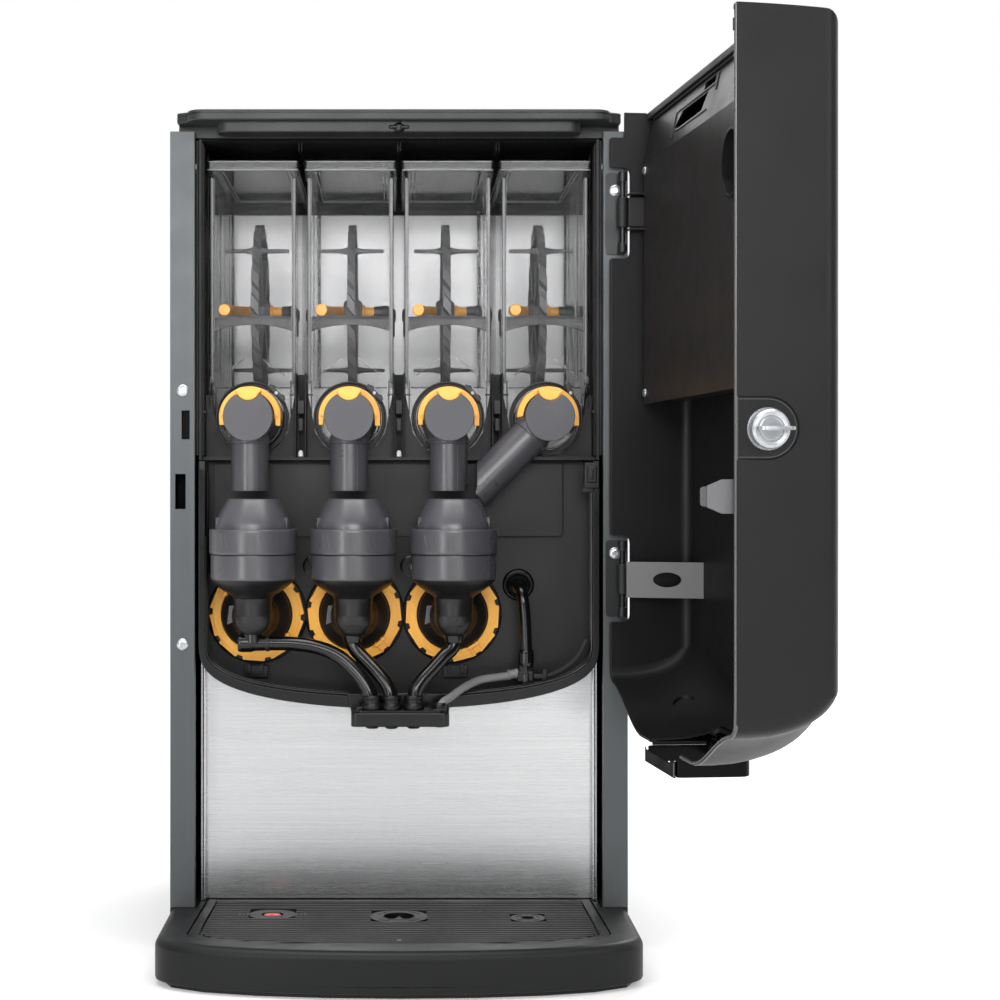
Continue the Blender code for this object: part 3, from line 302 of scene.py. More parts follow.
M = {
    "moulding": plastic("moulding_dark_grey", srgb(29, 30, 30), (0.38, 0.48), 1300.0, 0.10, specular=0.28),
    "tray": plastic("tray_moulding", srgb(22, 23, 23), (0.4, 0.5), 1300.0, 0.08, specular=0.25),
    "grille": plastic("grille_moulding", srgb(17, 17, 17), (0.4, 0.5), 1500.0, 0.10, specular=0.2),
    "cover": plastic("top_cover_moulding", srgb(42, 43, 44), (0.36, 0.46), 1200.0, 0.14, specular=0.35),
    "door": plastic("door_moulding", srgb(20, 20, 21), (0.36, 0.46), 1100.0, 0.14, specular=0.25),
    "door_in": plastic("door_inside_moulding", srgb(29, 29, 30), (0.44, 0.55), 1100.0, 0.14, specular=0.35),
    "control": plastic("control_box_satin", srgb(28, 26, 25), (0.34, 0.44), 900.0, 0.05, 0.05, specular=0.4),
    "chin": plastic("gloss_black", srgb(4, 4, 5), (0.1, 0.16), 500.0, 0.02, specular=0.09),
    "wall": plastic("mixer_wall_satin", srgb(27, 27, 28), (0.36, 0.48), 1300.0, 0.10, specular=0.3),
    "rim": plastic("mixer_rim", srgb(8, 8, 9), (0.18, 0.26), 1300.0, 0.06, specular=0.35),
    "shelf": plastic("shelf_black", srgb(16, 16, 17), (0.36, 0.5), 1200.0, 0.08, specular=0.3),
    "black": plastic("inner_black", srgb(9, 9, 10), (0.42, 0.6), 900.0, 0.06, specular=0.3),
    "deep": plastic("deep_black", srgb(4, 4, 4), (0.5, 0.62), 900.0, 0.04, specular=0.08),
    "pin": painted("pin_dark_steel", srgb(44, 45, 46), 0.7, (0.22, 0.3)),
    # lighter than the door moulding: painted highlight for the door's free rim and the spout cover's edges
    "bead": plastic("door_bead_painted_highlight", srgb(62, 62, 63), (0.24, 0.32), 900.0, 0.03, 0.05, specular=0.9),
    "panel": plastic("front_plate_dark", srgb(17, 17, 18), (0.34, 0.46), 1200.0, 0.10, specular=0.3),
    "mixer": plastic("mixer_grey", srgb(67, 67, 71), (0.26, 0.34), 1500.0, 0.08, 0.05, specular=0.7),
    "disc": plastic("elbow_face_grey", srgb(75, 75, 79), (0.42, 0.55), 1500.0, 0.12, 0.05, specular=0.4),
    "dome": plastic("whipper_grey", srgb(21, 21, 22), (0.34, 0.44), 1500.0, 0.08, 0.06, specular=0.4),
    "orange": plastic("orange_moulding", srgb(251, 178, 70), (0.34, 0.46), 1500.0, 0.10, 0.05),
    "wheel": plastic("wheel_grey", srgb(95, 95, 97), (0.4, 0.52), 1200.0, 0.10, 0.08),
    "auger": plastic("auger_grey", srgb(74, 74, 76), (0.4, 0.52), 1200.0, 0.10, 0.08),
    "hose": plastic("hose_black", srgb(8, 8, 9), (0.16, 0.24), 500.0, 0.03, 0.1, coat=0.2, specular=0.4),
    "silicone": plastic("hose_grey", srgb(118, 118, 120), (0.42, 0.52), 700.0, 0.05, 0.06),
    "fitting": plastic("fitting_black", srgb(12, 12, 13), (0.26, 0.36), 900.0, 0.05, specular=0.35),
    "nub": plastic("nub_white", srgb(196, 198, 198), (0.36, 0.46), 900.0, 0.05, 0.05),
    "red": plastic("float_red", srgb(226, 48, 34), (0.24, 0.34), 900.0, 0.04, 0.06),
    "frame": painted("cabinet_paint", srgb(76, 79, 81), 0.3, (0.34, 0.44)),
    "leaf": painted("hinge_paint", srgb(36, 37, 38), 0.45, (0.3, 0.4)),
    "stiffener": painted("stiffener_paint", srgb(92, 92, 93), 0.3, (0.34, 0.44)),
    "splash": brushed("splash_brushed_steel", srgb(192, 193, 194), "X", (0.2, 0.3), 1.0, 0.10, 0.035),
    "back": brushed("bay_brushed_steel", srgb(240, 240, 241), "X", (0.36, 0.46), 0.5, 0.05, 0.02),
    "steel": brushed("turned_steel", srgb(158, 160, 163), "Z", (0.24, 0.34), 0.75, 0.05, 0.03),
    "chrome": brushed("polished_steel", srgb(186, 188, 191), "X", (0.18, 0.28), 0.7, 0.03, 0.02),
    "boiler": brushed("drawn_steel", srgb(190, 190, 190), "Z", (0.25, 0.35), 1.0, 0.1, 0.06),
    "chassis": brushed("zinc_plate", srgb(150, 152, 154), "Y", (0.35, 0.5), 0.9, 0.06, 0.1),
    # opaque dark strips: painted shade standing for clear walls seen edge-on
    "edge_painted_shade": plastic("canister_opaque_painted_shade", srgb(20, 20, 21), (0.16, 0.24), 700.0, 0.02, 0.2),
    # dark grey of the axle sleeves and front webs; on the webs it is partly painted shade under the axle
    "web": plastic("web_dark_grey_and_painted_shade", srgb(52, 52, 54), (0.34, 0.46), 1300.0, 0.08, 0.1, specular=0.4),
    "ring_orange": plastic("ring_orange_moulding", srgb(255, 182, 64), (0.3, 0.42), 1500.0, 0.10, 0.05),
    "clear": clear("canister_clear", srgb(84, 87, 89), 0.03, 0.48),
    # clear plastic tinted dark for ribs, slope lines and feet: painted shade of clear walls seen edge-on
    "clear_with_painted_shade": clear("canister_clear_painted_shade", srgb(24, 26, 27), 0.45, 0.92, 0.05),
    "smoke": clear("lid_smoke", srgb(34, 36, 38), 0.46, 0.88, 0.08),
    # light lines: painted highlights on canister and lid edges
    "painted_highlight_line": plastic("painted_edge_highlight", srgb(150, 153, 155), (0.2, 0.3), 500.0, 0.0, 0.02),
}


# ------------------------------------------------------------------------------------------------
# Shapes. Millimetres in, metres out.
# ------------------------------------------------------------------------------------------------
def to_object(mesh, name="shape"):
    obj = bpy.data.objects.new(name, mesh)
    scene.collection.objects.link(obj)
    return obj


def evaluated_mesh(obj):
    bpy.context.view_layer.update()
    graph = bpy.context.evaluated_depsgraph_get()
    return bpy.data.meshes.new_from_object(obj.evaluated_get(graph))


def replace_mesh(obj, mesh):
    old = obj.data
    obj.modifiers.clear()
    obj.data = mesh
    bpy.data.meshes.remove(old)
    return obj


def from_bm(bm, name="shape"):
    mesh = bpy.data.meshes.new(name)
    bm.to_mesh(mesh)
    bm.free()
    return to_object(mesh)


def tidy(mesh, weld=1e-6, turn_out=False):
    bm = bmesh.new()
    bm.from_mesh(mesh)
    bmesh.ops.remove_doubles(bm, verts=bm.verts, dist=weld)
    bmesh.ops.dissolve_degenerate(bm, edges=bm.edges, dist=weld)
    if turn_out:
        bmesh.ops.recalc_face_normals(bm, faces=bm.faces)
    bm.to_mesh(mesh)
    bm.free()
    return mesh


def bevelled(obj, width, segments=2, angle=30.0):
    """Rounds the sharp edges."""
    bm = bmesh.new()
    bm.from_mesh(obj.data)
    bmesh.ops.dissolve_limit(bm, angle_limit=0.01, verts=bm.verts, edges=bm.edges)
    bm.to_mesh(obj.data)
    bm.free()
    bevel = obj.modifiers.new("Bevel", "BEVEL")
    bevel.width = width * MM
    bevel.segments = segments
    bevel.limit_method = "ANGLE"
    bevel.angle_limit = math.radians(angle)
    bevel.harden_normals = False
    return replace_mesh(obj, evaluated_mesh(obj))


def box(lo, hi, bevel=0.0, segments=2):
    bm = bmesh.new()
    bmesh.ops.create_cube(bm, size=1.0)
    bmesh.ops.scale(bm, vec=[(h - l) * MM for l, h in zip(lo, hi)], verts=bm.verts)
    bmesh.ops.translate(bm, vec=[(h + l) / 2 * MM for l, h in zip(lo, hi)], verts=bm.verts)
    obj = from_bm(bm)
    return bevelled(obj, bevel, segments) if bevel else obj


def cylinder(start, end, r, sides=40, r2=None, bevel=0.0, segments=2):
    a, b = Vector(start) * MM, Vector(end) * MM
    turn = (b - a).to_track_quat("Z", "Y").to_matrix().to_4x4()
    bm = bmesh.new()
    bmesh.ops.create_cone(bm, cap_ends=True, segments=sides, radius1=r * MM,
                          radius2=(r if r2 is None else r2) * MM, depth=(b - a).length)
    bmesh.ops.transform(bm, matrix=Matrix.Translation((a + b) / 2) @ turn, verts=bm.verts)
    obj = from_bm(bm)
    return bevelled(obj, bevel, segments, 40.0) if bevel else obj


def plate(outlines, lo, hi, axis="Z", bevel=0.0, segments=2, angle=30.0):
    """Flat outlines, the first the border and the others holes, extruded from lo to hi along axis."""
    curve = bpy.data.curves.new("outline", "CURVE")
    curve.dimensions = "2D"
    curve.fill_mode = "BOTH"
    curve.extrude = (hi - lo) / 2 * MM
    for outline in outlines:
        spline = curve.splines.new("POLY")
        spline.points.add(len(outline) - 1)
        for point, (u, v) in zip(spline.points, outline):
            point.co = (u * MM, v * MM, 0.0, 1.0)
        spline.use_cyclic_u = True
    obj = bpy.data.objects.new("outline", curve)
    scene.collection.objects.link(obj)
    mesh = evaluated_mesh(obj)
    bpy.data.objects.remove(obj, do_unlink=True)
    middle = (lo + hi) / 2 * MM
    for vertex in mesh.vertices:
        u, v, w = vertex.co
        w += middle
        vertex.co = {"Z": (u, v, w), "Y": (u, w, v), "X": (w, u, v)}[axis]
    out = to_object(tidy(mesh, turn_out=True))
    return bevelled(out, bevel, segments, angle) if bevel else out


def lathe(profile, centre, direction=(0, 0, 1), sides=64, closed=True, start=0.0, sweep=360.0):
    """A turned shape from (radius, height) pairs; height runs along direction from centre."""
    bm = bmesh.new()
    rings = []
    full = sweep >= 360.0
    n = sides if full else sides + 1
    for k in range(n):
        a = math.radians(start + sweep * k / sides)
        rings.append([bm.verts.new((r * MM * math.cos(a), r * MM * math.sin(a), h * MM)) for r, h in profile])
    count = len(profile)
    last = count if closed else count - 1
    for k in range(sides if full else sides):
        a, b = rings[k], rings[(k + 1) % n]
        for i in range(last):
            j = (i + 1) % count
            try:
                bm.faces.new((a[i], b[i], b[j], a[j]))
            except ValueError:
                pass
    if not full and closed:
        bm.faces.new(list(reversed(rings[0])))
        bm.faces.new(rings[-1])
    bmesh.ops.remove_doubles(bm, verts=bm.verts, dist=1e-6)
    bmesh.ops.dissolve_degenerate(bm, edges=bm.edges, dist=1e-6)
    bmesh.ops.recalc_face_normals(bm, faces=bm.faces)
    turn = Vector(direction).to_track_quat("Z", "Y").to_matrix().to_4x4()
    bmesh.ops.transform(bm, matrix=Matrix.Translation(Vector(centre) * MM) @ turn, verts=bm.verts)
    return from_bm(bm)


def rounded(profile, radius=1.0, steps=3, closed=True):
    """The profile with its corners rounded."""
    out = []
    n = len(profile)
    for i, p in enumerate(profile):
        if not closed and i in (0, n - 1):
            out.append(p)
            continue
        a, b = profile[i - 1], profile[(i + 1) % n]
        va, vb = Vector((a[0] - p[0], a[1] - p[1])), Vector((b[0] - p[0], b[1] - p[1]))
        r = min(radius, va.length * 0.45, vb.length * 0.45)
        if va.length < 1e-9 or vb.length < 1e-9 or r < 0.02:
            out.append(p)
            continue
        s, e = Vector(p) + va.normalized() * r, Vector(p) + vb.normalized() * r
        for k in range(steps + 1):
            t = k / steps
            q = (1 - t) ** 2 * s + 2 * t * (1 - t) * Vector(p) + t * t * e
            out.append((q.x, q.y))
    return out


def tube(points, r, sides=20, radii=None, caps=True):
    """A round bar along the points, with parallel-transported rings."""
    pts = [Vector(p) * MM for p in points]
    bm = bmesh.new()
    t0 = (pts[1] - pts[0]).normalized()
    up = Vector((0, 0, 1)) if abs(t0.z) < 0.9 else Vector((0, 1, 0))
    n0 = (up - t0 * up.dot(t0)).normalized()
    rings = []
    for i, p in enumerate(pts):
        if i == 0:
            t = t0
        elif i == len(pts) - 1:
            t = (pts[i] - pts[i - 1]).normalized()
        else:
            t = ((pts[i + 1] - pts[i]).normalized() + (pts[i] - pts[i - 1]).normalized()).normalized()
        n0 = (n0 - t * n0.dot(t)).normalized()
        b0 = t.cross(n0)
        rr = (radii[i] if radii else r) * MM
        rings.append([bm.verts.new(p + (n0 * math.cos(2 * math.pi * k / sides) + b0 * math.sin(2 * math.pi * k / sides)) * rr)
                      for k in range(sides)])
    for a, b in zip(rings, rings[1:]):
        for k in range(sides):
            m = (k + 1) % sides
            bm.faces.new((a[k], a[m], b[m], b[k]))
    if caps:
        bm.faces.new(rings[0])
        bm.faces.new(rings[-1])
    bmesh.ops.recalc_face_normals(bm, faces=bm.faces)
    return from_bm(bm)


def smooth_route(route, step):
    pts = [Vector(p) for p in route]
    pts = [2 * pts[0] - pts[1]] + pts + [2 * pts[-1] - pts[-2]]
    out = []
    for i in range(1, len(pts) - 2):
        p0, p1, p2, p3 = pts[i - 1:i + 3]
        n = max(1, round((p2 - p1).length / step))
        for k in range(n):
            t = k / n
            out.append(0.5 * ((2 * p1) + (p2 - p0) * t + (2 * p0 - 5 * p1 + 4 * p2 - p3) * t * t
                              + (3 * p1 - p0 - 3 * p2 + p3) * t ** 3))
    out.append(pts[-2])
    return out


def sweep_section(points, section, closed_path=False, up=(0, 1, 0)):
    """A flat section (u across, v along up) carried along a path."""
    pts = [Vector(p) * MM for p in points]
    up = Vector(up)
    bm = bmesh.new()
    rings = []
    n = len(pts)
    for i, p in enumerate(pts):
        a = pts[(i - 1) % n] if closed_path or i else pts[0]
        b = pts[(i + 1) % n] if closed_path or i < n - 1 else pts[-1]
        t = (b - a).normalized()
        side = t.cross(up).normalized()
        rings.append([bm.verts.new(p + side * u * MM + up * v * MM) for u, v in section])
    pairs = list(zip(rings, rings[1:])) + ([(rings[-1], rings[0])] if closed_path else [])
    for a, b in pairs:
        for k in range(len(section)):
            m = (k + 1) % len(section)
            bm.faces.new((a[k], a[m], b[m], b[k]))
    if not closed_path:
        bm.faces.new(rings[0])
        bm.faces.new(rings[-1])
    bmesh.ops.recalc_face_normals(bm, faces=bm.faces)
    return from_bm(bm)


def combine(target, *others, op="UNION"):
    for other in others:
        boolean = target.modifiers.new("Boolean", "BOOLEAN")
        boolean.operation = op
        boolean.solver = "EXACT"
        boolean.object = other
        replace_mesh(target, evaluated_mesh(target))
        tidy(target.data)
        bpy.data.objects.remove(other, do_unlink=True)
    return target


def cut(target, *others):
    return combine(target, *others, op="DIFFERENCE")


def merged(*objs):
    """Several shapes in one mesh, as one moulding with its parts set into each other."""
    bm = bmesh.new()
    for obj in objs:
        bm.from_mesh(obj.data)
        bpy.data.objects.remove(obj, do_unlink=True)
    return from_bm(bm)


def circle(cx, cy, r, count=48, start=0.0, sweep=360.0):
    n = count if sweep >= 360.0 else count - 1
    return [(cx + r * math.cos(math.radians(start + sweep * i / n)),
             cy + r * math.sin(math.radians(start + sweep * i / n))) for i in range(count)]


def rect(x0, y0, x1, y1, r=0.0, steps=5):
    if r <= 0:
        return [(x0, y0), (x1, y0), (x1, y1), (x0, y1)]
    out = []
    for cx, cy, start in ((x1 - r, y0 + r, -90), (x1 - r, y1 - r, 0), (x0 + r, y1 - r, 90), (x0 + r, y0 + r, 180)):
        out += circle(cx, cy, r, steps + 1, start, 90.0)
    return out


def piece(name, obj, mat, body, stands_for=(), smooth=35.0, door=False):
    """Name the shape, give it its material and let it ride on its body.

    A door piece is modelled with the door closed, and is swung open here.
    """
    obj.name = name
    mesh = obj.data
    mesh.name = name
    if door:
        hinge = Vector((HINGE[0], HINGE[1], 0.0)) * MM
        mesh.transform(Matrix.Translation(hinge) @ Matrix.Rotation(DOOR_TURN, 4, "Z") @ Matrix.Translation(-hinge))
    mesh.validate()
    mesh.materials.clear()
    mesh.materials.append(M[mat])
    mesh.shade_smooth()
    mesh.set_sharp_from_angle(angle=math.radians(smooth))
    weighted = obj.modifiers.new("Normals", "WEIGHTED_NORMAL")      # large flat faces stay flat beside their bevels
    weighted.keep_sharp = True
    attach(obj, body)
    if stands_for:
        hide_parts(*([stands_for] if isinstance(stands_for, str) else stands_for))
    return obj


def dress(node, mat, bevel=0.0, segments=2, angle=35.0):
    """A CAD node keeps its shape and gets its material, and its edges are eased."""
    obj = nodes[node]
    obj.data.materials.clear()
    obj.data.materials.append(M[mat])
    for poly in obj.data.polygons:
        poly.material_index = 0
    weld = obj.modifiers.new("Weld", "WELD")
    weld.merge_threshold = 0.00002
    if bevel:
        flat = obj.modifiers.new("Flat", "DECIMATE")
        flat.decimate_type = "DISSOLVE"
        flat.angle_limit = math.radians(0.6)
        mod = obj.modifiers.new("Ease", "BEVEL")
        mod.width = bevel * MM
        mod.segments = segments
        mod.limit_method = "ANGLE"
        mod.angle_limit = math.radians(angle)
    for edge in obj.data.edges:
        edge.use_edge_sharp = False
    return obj


def screw(name, centre, direction, body, r=5.4, head=2.0, door=False, socket=2.1):
    """Button-head screw with a six-lobed socket."""
    head_shape = lathe([(0, 0), (r, 0), (r, 0.5), (r * 0.93, head * 0.55), (r * 0.74, head * 0.87), (r * 0.45, head), (0, head)],
                       (0, 0, 0), (0, 0, 1), 40, closed=False)
    lobes = []
    for k in range(60):
        a = 2 * math.pi * k / 60
        rr = socket * (1 + 0.16 * math.cos(6 * a))
        lobes.append((rr * math.cos(a), rr * math.sin(a)))
    cut(head_shape, plate([lobes], head - 1.2, head + 2))
    turn = Vector(direction).to_track_quat("Z", "Y").to_matrix().to_4x4()
    head_shape.data.transform(Matrix.Translation(Vector(centre) * MM) @ turn)
    return piece(name, head_shape, "chrome", body, door=door)


# ------------------------------------------------------------------------------------------------
# Cabinet: posts, top cover, canister bay, mixer bay, splash panel
# ------------------------------------------------------------------------------------------------
dress("base_moulding", "moulding")
dress("cabinet_wrap", "frame", 0.5, 2)
dress("bay_back_panel", "back")
dress("canister_shelf", "shelf", 0.4, 2)
dress("boiler", "boiler")
dress("drive_chassis", "chassis", 0.5, 1)
dress("splash_panel", "splash")

# black sheets behind the lock's and the latch's slots: painted shade inside the slots
for name, z0, z1 in (("slot_painted_shade_upper", 441.0, 478.0), ("slot_painted_shade_lower", 380.0, 422.6)):
    back = [(-197.4, 2.6), (-197.4, 26.0), (-181.4, 26.0), (-181.4, 24.8), (-196.2, 24.8), (-196.2, 2.6)]
    if name.endswith("upper"):
        back = [(-181.4, 2.6)] + back[:-1] + [(-196.2, 3.8), (-181.4, 3.8)]
    hood = plate([back], z0, z1, "Z", 0.2, 1)
    piece(name, hood, "deep", "cabinet")

for name, x, z in (("post_screw_left_upper", -189.0, 489.5), ("post_screw_left_lower", -189.0, 267.7),
                   ("post_screw_right_upper", 188.7, 664.0), ("post_screw_right_lower", 188.7, 347.6)):
    y = 0.0 if x < 0 else -2.0
    screw(name, (x, y, z), (0, -1, 0), "cabinet")

# small blind rivets in the right post and folded inner edges of both
for k, (x, z) in enumerate(((188.9, 487.0), (189.2, 404.0), (188.8, 268.0), (188.8, 698.0))):
    head = lathe(rounded([(0, 0), (2.6, 0), (2.4, 0.9), (0, 1.2)], 0.5, 3, False), (x, 0, z), (0, -1, 0), 28, closed=False)
    piece(f"post_rivet_{k + 1}", head, "fitting", "cabinet")


def top_outline(inset=0.0, lip=184.0, front=-25.0, r=15.0):
    half = 193.5 - inset
    lip -= inset
    front += inset
    pts = circle(-lip + r, front + r, r, 10, 270, -90)
    pts += [(-lip, -10.0), (-half, -4.5), (-half, 332 - inset), (half, 332 - inset), (half, -4.5), (lip, -10.0)]
    pts += circle(lip - r, front + r, r, 10, 0, -90)
    return pts


crown = plate([top_outline()], 721.6, 731.0, "Z", 1.6, 4, 40)
groove_path = top_outline(0.0)
groove = plate([[(x * 1.02, y * 1.02 - 1.0) for x, y in top_outline(-4.0)], top_outline(0.9)], 727.2, 728.3)
cut(crown, groove)
skirt = box((-193.5, 12, 712), (193.5, 332, 723), 0.6, 2)
under = plate([rect(-158, -17, 158, 9.0, 10.0, 8)], 712.4, 723.0, "Z", 1.4, 4, 40)
cut(crown, plate([rect(-154, -13.5, 154, 12.0, 7.0, 6)], 708.0, 724.5))
knob = merged(
    lathe(rounded([(0, -6.4), (4.2, -6.4), (5.6, -4.6), (5.6, 0.0), (3.6, 1.0), (3.6, 5.0), (0, 5.0)], 0.8, 3, False), (0, -14, 718.8), (0, 0, 1), 40, closed=False),
    box((-8.8, -19.2, 715.2), (8.8, -9.0, 718.2), 1.2, 3))
combine(crown, skirt, under)
cut(crown, box((-190, 15, 700), (190, 329, 727.5)))
piece("top_cover_skin", crown, "cover", "cabinet", "top_cover")
piece("top_latch_knob", knob, "fitting", "cabinet")

# head of the canister bay: cross beam, ribbed ceiling, dark upper back wall
beam = plate([[(12.6, 709.4), (12.6, 711.6), (26.0, 711.6), (26.0, 710.2), (14.4, 709.4)]], -173.2, 173.2, "X", 0.3, 2)
ceiling = [box((-172.8, 14.8, 709.2), (172.8, 278, 711.2), 0.2, 1)]
for x in (-87.0, 0.0, 87.0):
    ceiling.append(box((x - 1.7, 16.0, 701.6), (x - 0.7, 276, 710.0), 0.2, 1))
    ceiling.append(box((x + 0.7, 16.0, 701.6), (x + 1.7, 276, 710.0), 0.2, 1))
piece("bay_head_beam", beam, "deep", "cabinet")
piece("bay_ceiling", merged(*ceiling), "black", "cabinet")
upper_back = merged(box((-172.8, 277.6, 682.6), (172.8, 279.4, 709.0), 0.3, 1),
                    box((-172.8, 274.0, 680.2), (172.8, 279.4, 683.6), 0.6, 2))
piece("bay_upper_back", upper_back, "black", "cabinet")

# ribs on the bay's side walls
for side, tag in ((-1, "left"), (1, "right")):
    ribs = []
    for y, w in ((14.4, 1.4), (30.0, 1.2), (64.0, 1.2), (150.0, 1.2), (236.0, 1.2)):
        a, b = sorted((side * 173.4, side * (173.4 - w)))
        ribs.append(box((a, y, 433.0), (b, y + 3.4, 708.0), 0.3, 1))
    a, b = sorted((side * 173.4, side * 170.2))
    ribs.append(box((a, 15.4, 470.0), (b, 26.0, 473.0), 0.5, 2))
    piece(f"bay_side_ribs_{tag}", merged(*ribs), "shelf", "cabinet")
    inner = box((side * 178.4 if side < 0 else 176.2, 11.0, 433.0), (-176.2 if side < 0 else 178.4, 34.0, 710.0), 0.3, 1)
    piece(f"post_return_{tag}", inner, "black", "cabinet")

# front plates below each canister: grooves round the outlets, guide posts, white nubs
for k, cx in enumerate(CAN_X, 1):
    grooves = []
    for start, sweep in ((196.0, 34.0), (310.0, 54.0)):
        arc = [Vector((cx + 36.0 * math.cos(math.radians(start + sweep * i / 14)), 35.5, OUT_Z + 36.0 * math.sin(math.radians(start + sweep * i / 14))))
               for i in range(15)]
        grooves.append(sweep_section(arc, [(-0.45, -0.25), (0.45, -0.25), (0.45, 0.25), (-0.45, 0.25)]))
    piece(f"plate_groove_{k}", merged(*grooves), "black", "cabinet")
    seat = lathe(rounded([(28.4, 0.0), (32.6, 0.0), (32.6, 6.0), (31.0, 6.0), (31.0, 1.6), (28.4, 1.6)], 0.5, 3), (cx, 35.0, OUT_Z), (0, -1, 0), 72)
    piece(f"outlet_seat_{k}", seat, "fitting", f"canister_{k}_body")
    clip_turn = -45.0 if k < 4 else -20.0
    clip = merged(
        box((-2.3, -3.0, -9.5), (2.3, 2.6, 9.5), 0.7, 2),
        box((-3.6, -1.0, 3.6), (3.6, 4.0, 7.2), 0.6, 2),
        box((-3.4, -1.2, -7.6), (3.4, 3.6, -4.4), 0.6, 2))
    clip.data.transform(Matrix.Translation(Vector((cx + 21.6, 28.0, OUT_Z + 22.2)) * MM) @ Matrix.Rotation(math.radians(clip_turn), 4, "Y"))
    piece(f"snout_clip_{k}", clip, "fitting", f"canister_{k}_body")
    dot = lathe(rounded([(0, 0), (1.5, 0), (1.5, 0.8), (0, 0.9)], 0.3, 2, False), (cx + 21.6, 25.0, OUT_Z + 22.2), (0, -1, 0), 24, closed=False)
    piece(f"snout_clip_pin_{k}", dot, "nub", f"canister_{k}_body")

for k, x in enumerate((-87.0, 0.0, 87.0), 1):
    rails = [box((x - 5.2, 20.0, 431.4), (x - 3.6, 60.0, 506.0), 0.4, 1), box((x + 3.6, 20.0, 431.4), (x + 5.2, 60.0, 506.0), 0.4, 1),
             box((x - 3.8, 46.0, 431.4), (x + 3.8, 48.0, 506.0), 0.3, 1)]
    piece(f"guide_rail_{k}", merged(*rails), "black", "cabinet")
    gate = merged(box((x - 3.0, 24.0, 470.0), (x + 3.0, 27.0, 482.0), 0.5, 2), box((x - 2.0, 22.0, 455.0), (x + 2.0, 25.0, 466.0), 0.5, 2))
    piece(f"guide_stop_{k}", gate, "panel", "cabinet")
    if k < 3:
        nub = merged(
            lathe(rounded([(0, 0), (2.4, 0), (2.2, 3.4), (1.4, 5.2), (0, 5.6)], 0.6, 3, False), (x, 23.6, 432.2), (0, 0, 1), 28, closed=False))
        piece(f"guide_nub_{k}", nub, "nub", "cabinet")


# ---- mixer bay -----------------------------------------------------------------------------------
def bay_outline(inset=0.0, top=428.0, steps=48, half=175.5, low=211.0, side_z=272.0):
    half -= inset * 0.55
    low += inset
    pts = [(half, top), (half, side_z)]
    for i in range(1, steps):
        angle = math.pi * i / steps
        pts.append((half * math.cos(angle) if i != steps // 2 else 0.0, side_z - (side_z - low) * math.sin(angle) ** 0.62))
    return pts + [(-half, side_z), (-half, top)]


tub = plate([bay_outline()], 2.0, 42.0, "Y", 1.0, 3, 40)
cut(tub, plate([bay_outline(10.0, top=452.0)], -4.0, 40.0, "Y"))
for cx in MIX_X:
    cut(tub, cylinder((cx, 30, RING_Z), (cx, 50, RING_Z), 9.0))
cut(tub, cylinder((106.5, 30, 318), (106.5, 50, 318), 7.5))
piece("mixer_bay_tub", tub, "wall", "cabinet", "mixer_bay_wall")

# the tub's front rim: an outer flange and a raised bead that catches the light
outer = bay_outline(0.3, top=421.0)
inner = bay_outline(10.6, top=421.0)
rim = plate([outer + list(reversed(inner))], 0.4, 2.6, "Y", 0.6, 2, 50)
piece("mixer_bay_rim", rim, "rim", "cabinet")
bead_path = [Vector((x, 1.65, z)) for x, z in bay_outline(12.2, top=419.0)]
bead_path[-1].z = 362.0      # ends below the reach of the left chute
piece("mixer_bay_bead", tube(bead_path, 1.15, 10), "rim", "cabinet")
inner_path = [Vector((x, 20.0, z)) for x, z in bay_outline(11.4, top=418.0)]
piece("mixer_bay_seal", tube(inner_path, 1.3, 10), "fitting", "cabinet")

# access panel: a shallow raised lid with a rounded corner, and the dark line round it
corner = circle(146.0, 365.0, 4.0, 8, 0, -90)
lid_line = [(-165.5, 429.4), (-165.5, 361.0)] + list(reversed(corner)) + [(150.0, 429.4)]
lid_line = [(-165.5, 361.0)] + [(142.0 + 4.0 * math.sin(math.radians(a)), 365.0 - 4.0 * math.cos(math.radians(a))) for a in range(0, 91, 15)] + [(146.0, 426.6), (-165.5, 426.6)]
access = plate([lid_line], 38.9, 39.9, "Y", 0.4, 1, 50)
piece("access_panel", access, "wall", "cabinet", (), 30)
gap_path = [Vector((-166.2, 39.6, 360.2))] + [Vector((142.3 + 4.6 * math.sin(math.radians(a)), 39.6, 364.8 - 4.6 * math.cos(math.radians(a)))) for a in range(0, 91, 15)] + [Vector((146.9, 39.6, 427.0))]
piece("access_panel_gap", sweep_section(gap_path, [(-0.6, -0.4), (0.6, -0.4), (0.6, 0.2), (-0.6, 0.2)]), "black", "cabinet")
head_line = sweep_section([Vector((-165.0, 38.4, 427.4)), Vector((0.0, 38.4, 427.4)), Vector((165.0, 38.4, 427.4))], [(-0.7, -0.5), (0.7, -0.5), (0.7, 0.5), (-0.7, 0.5)])
piece("mixer_bay_head_gap", head_line, "black", "cabinet")

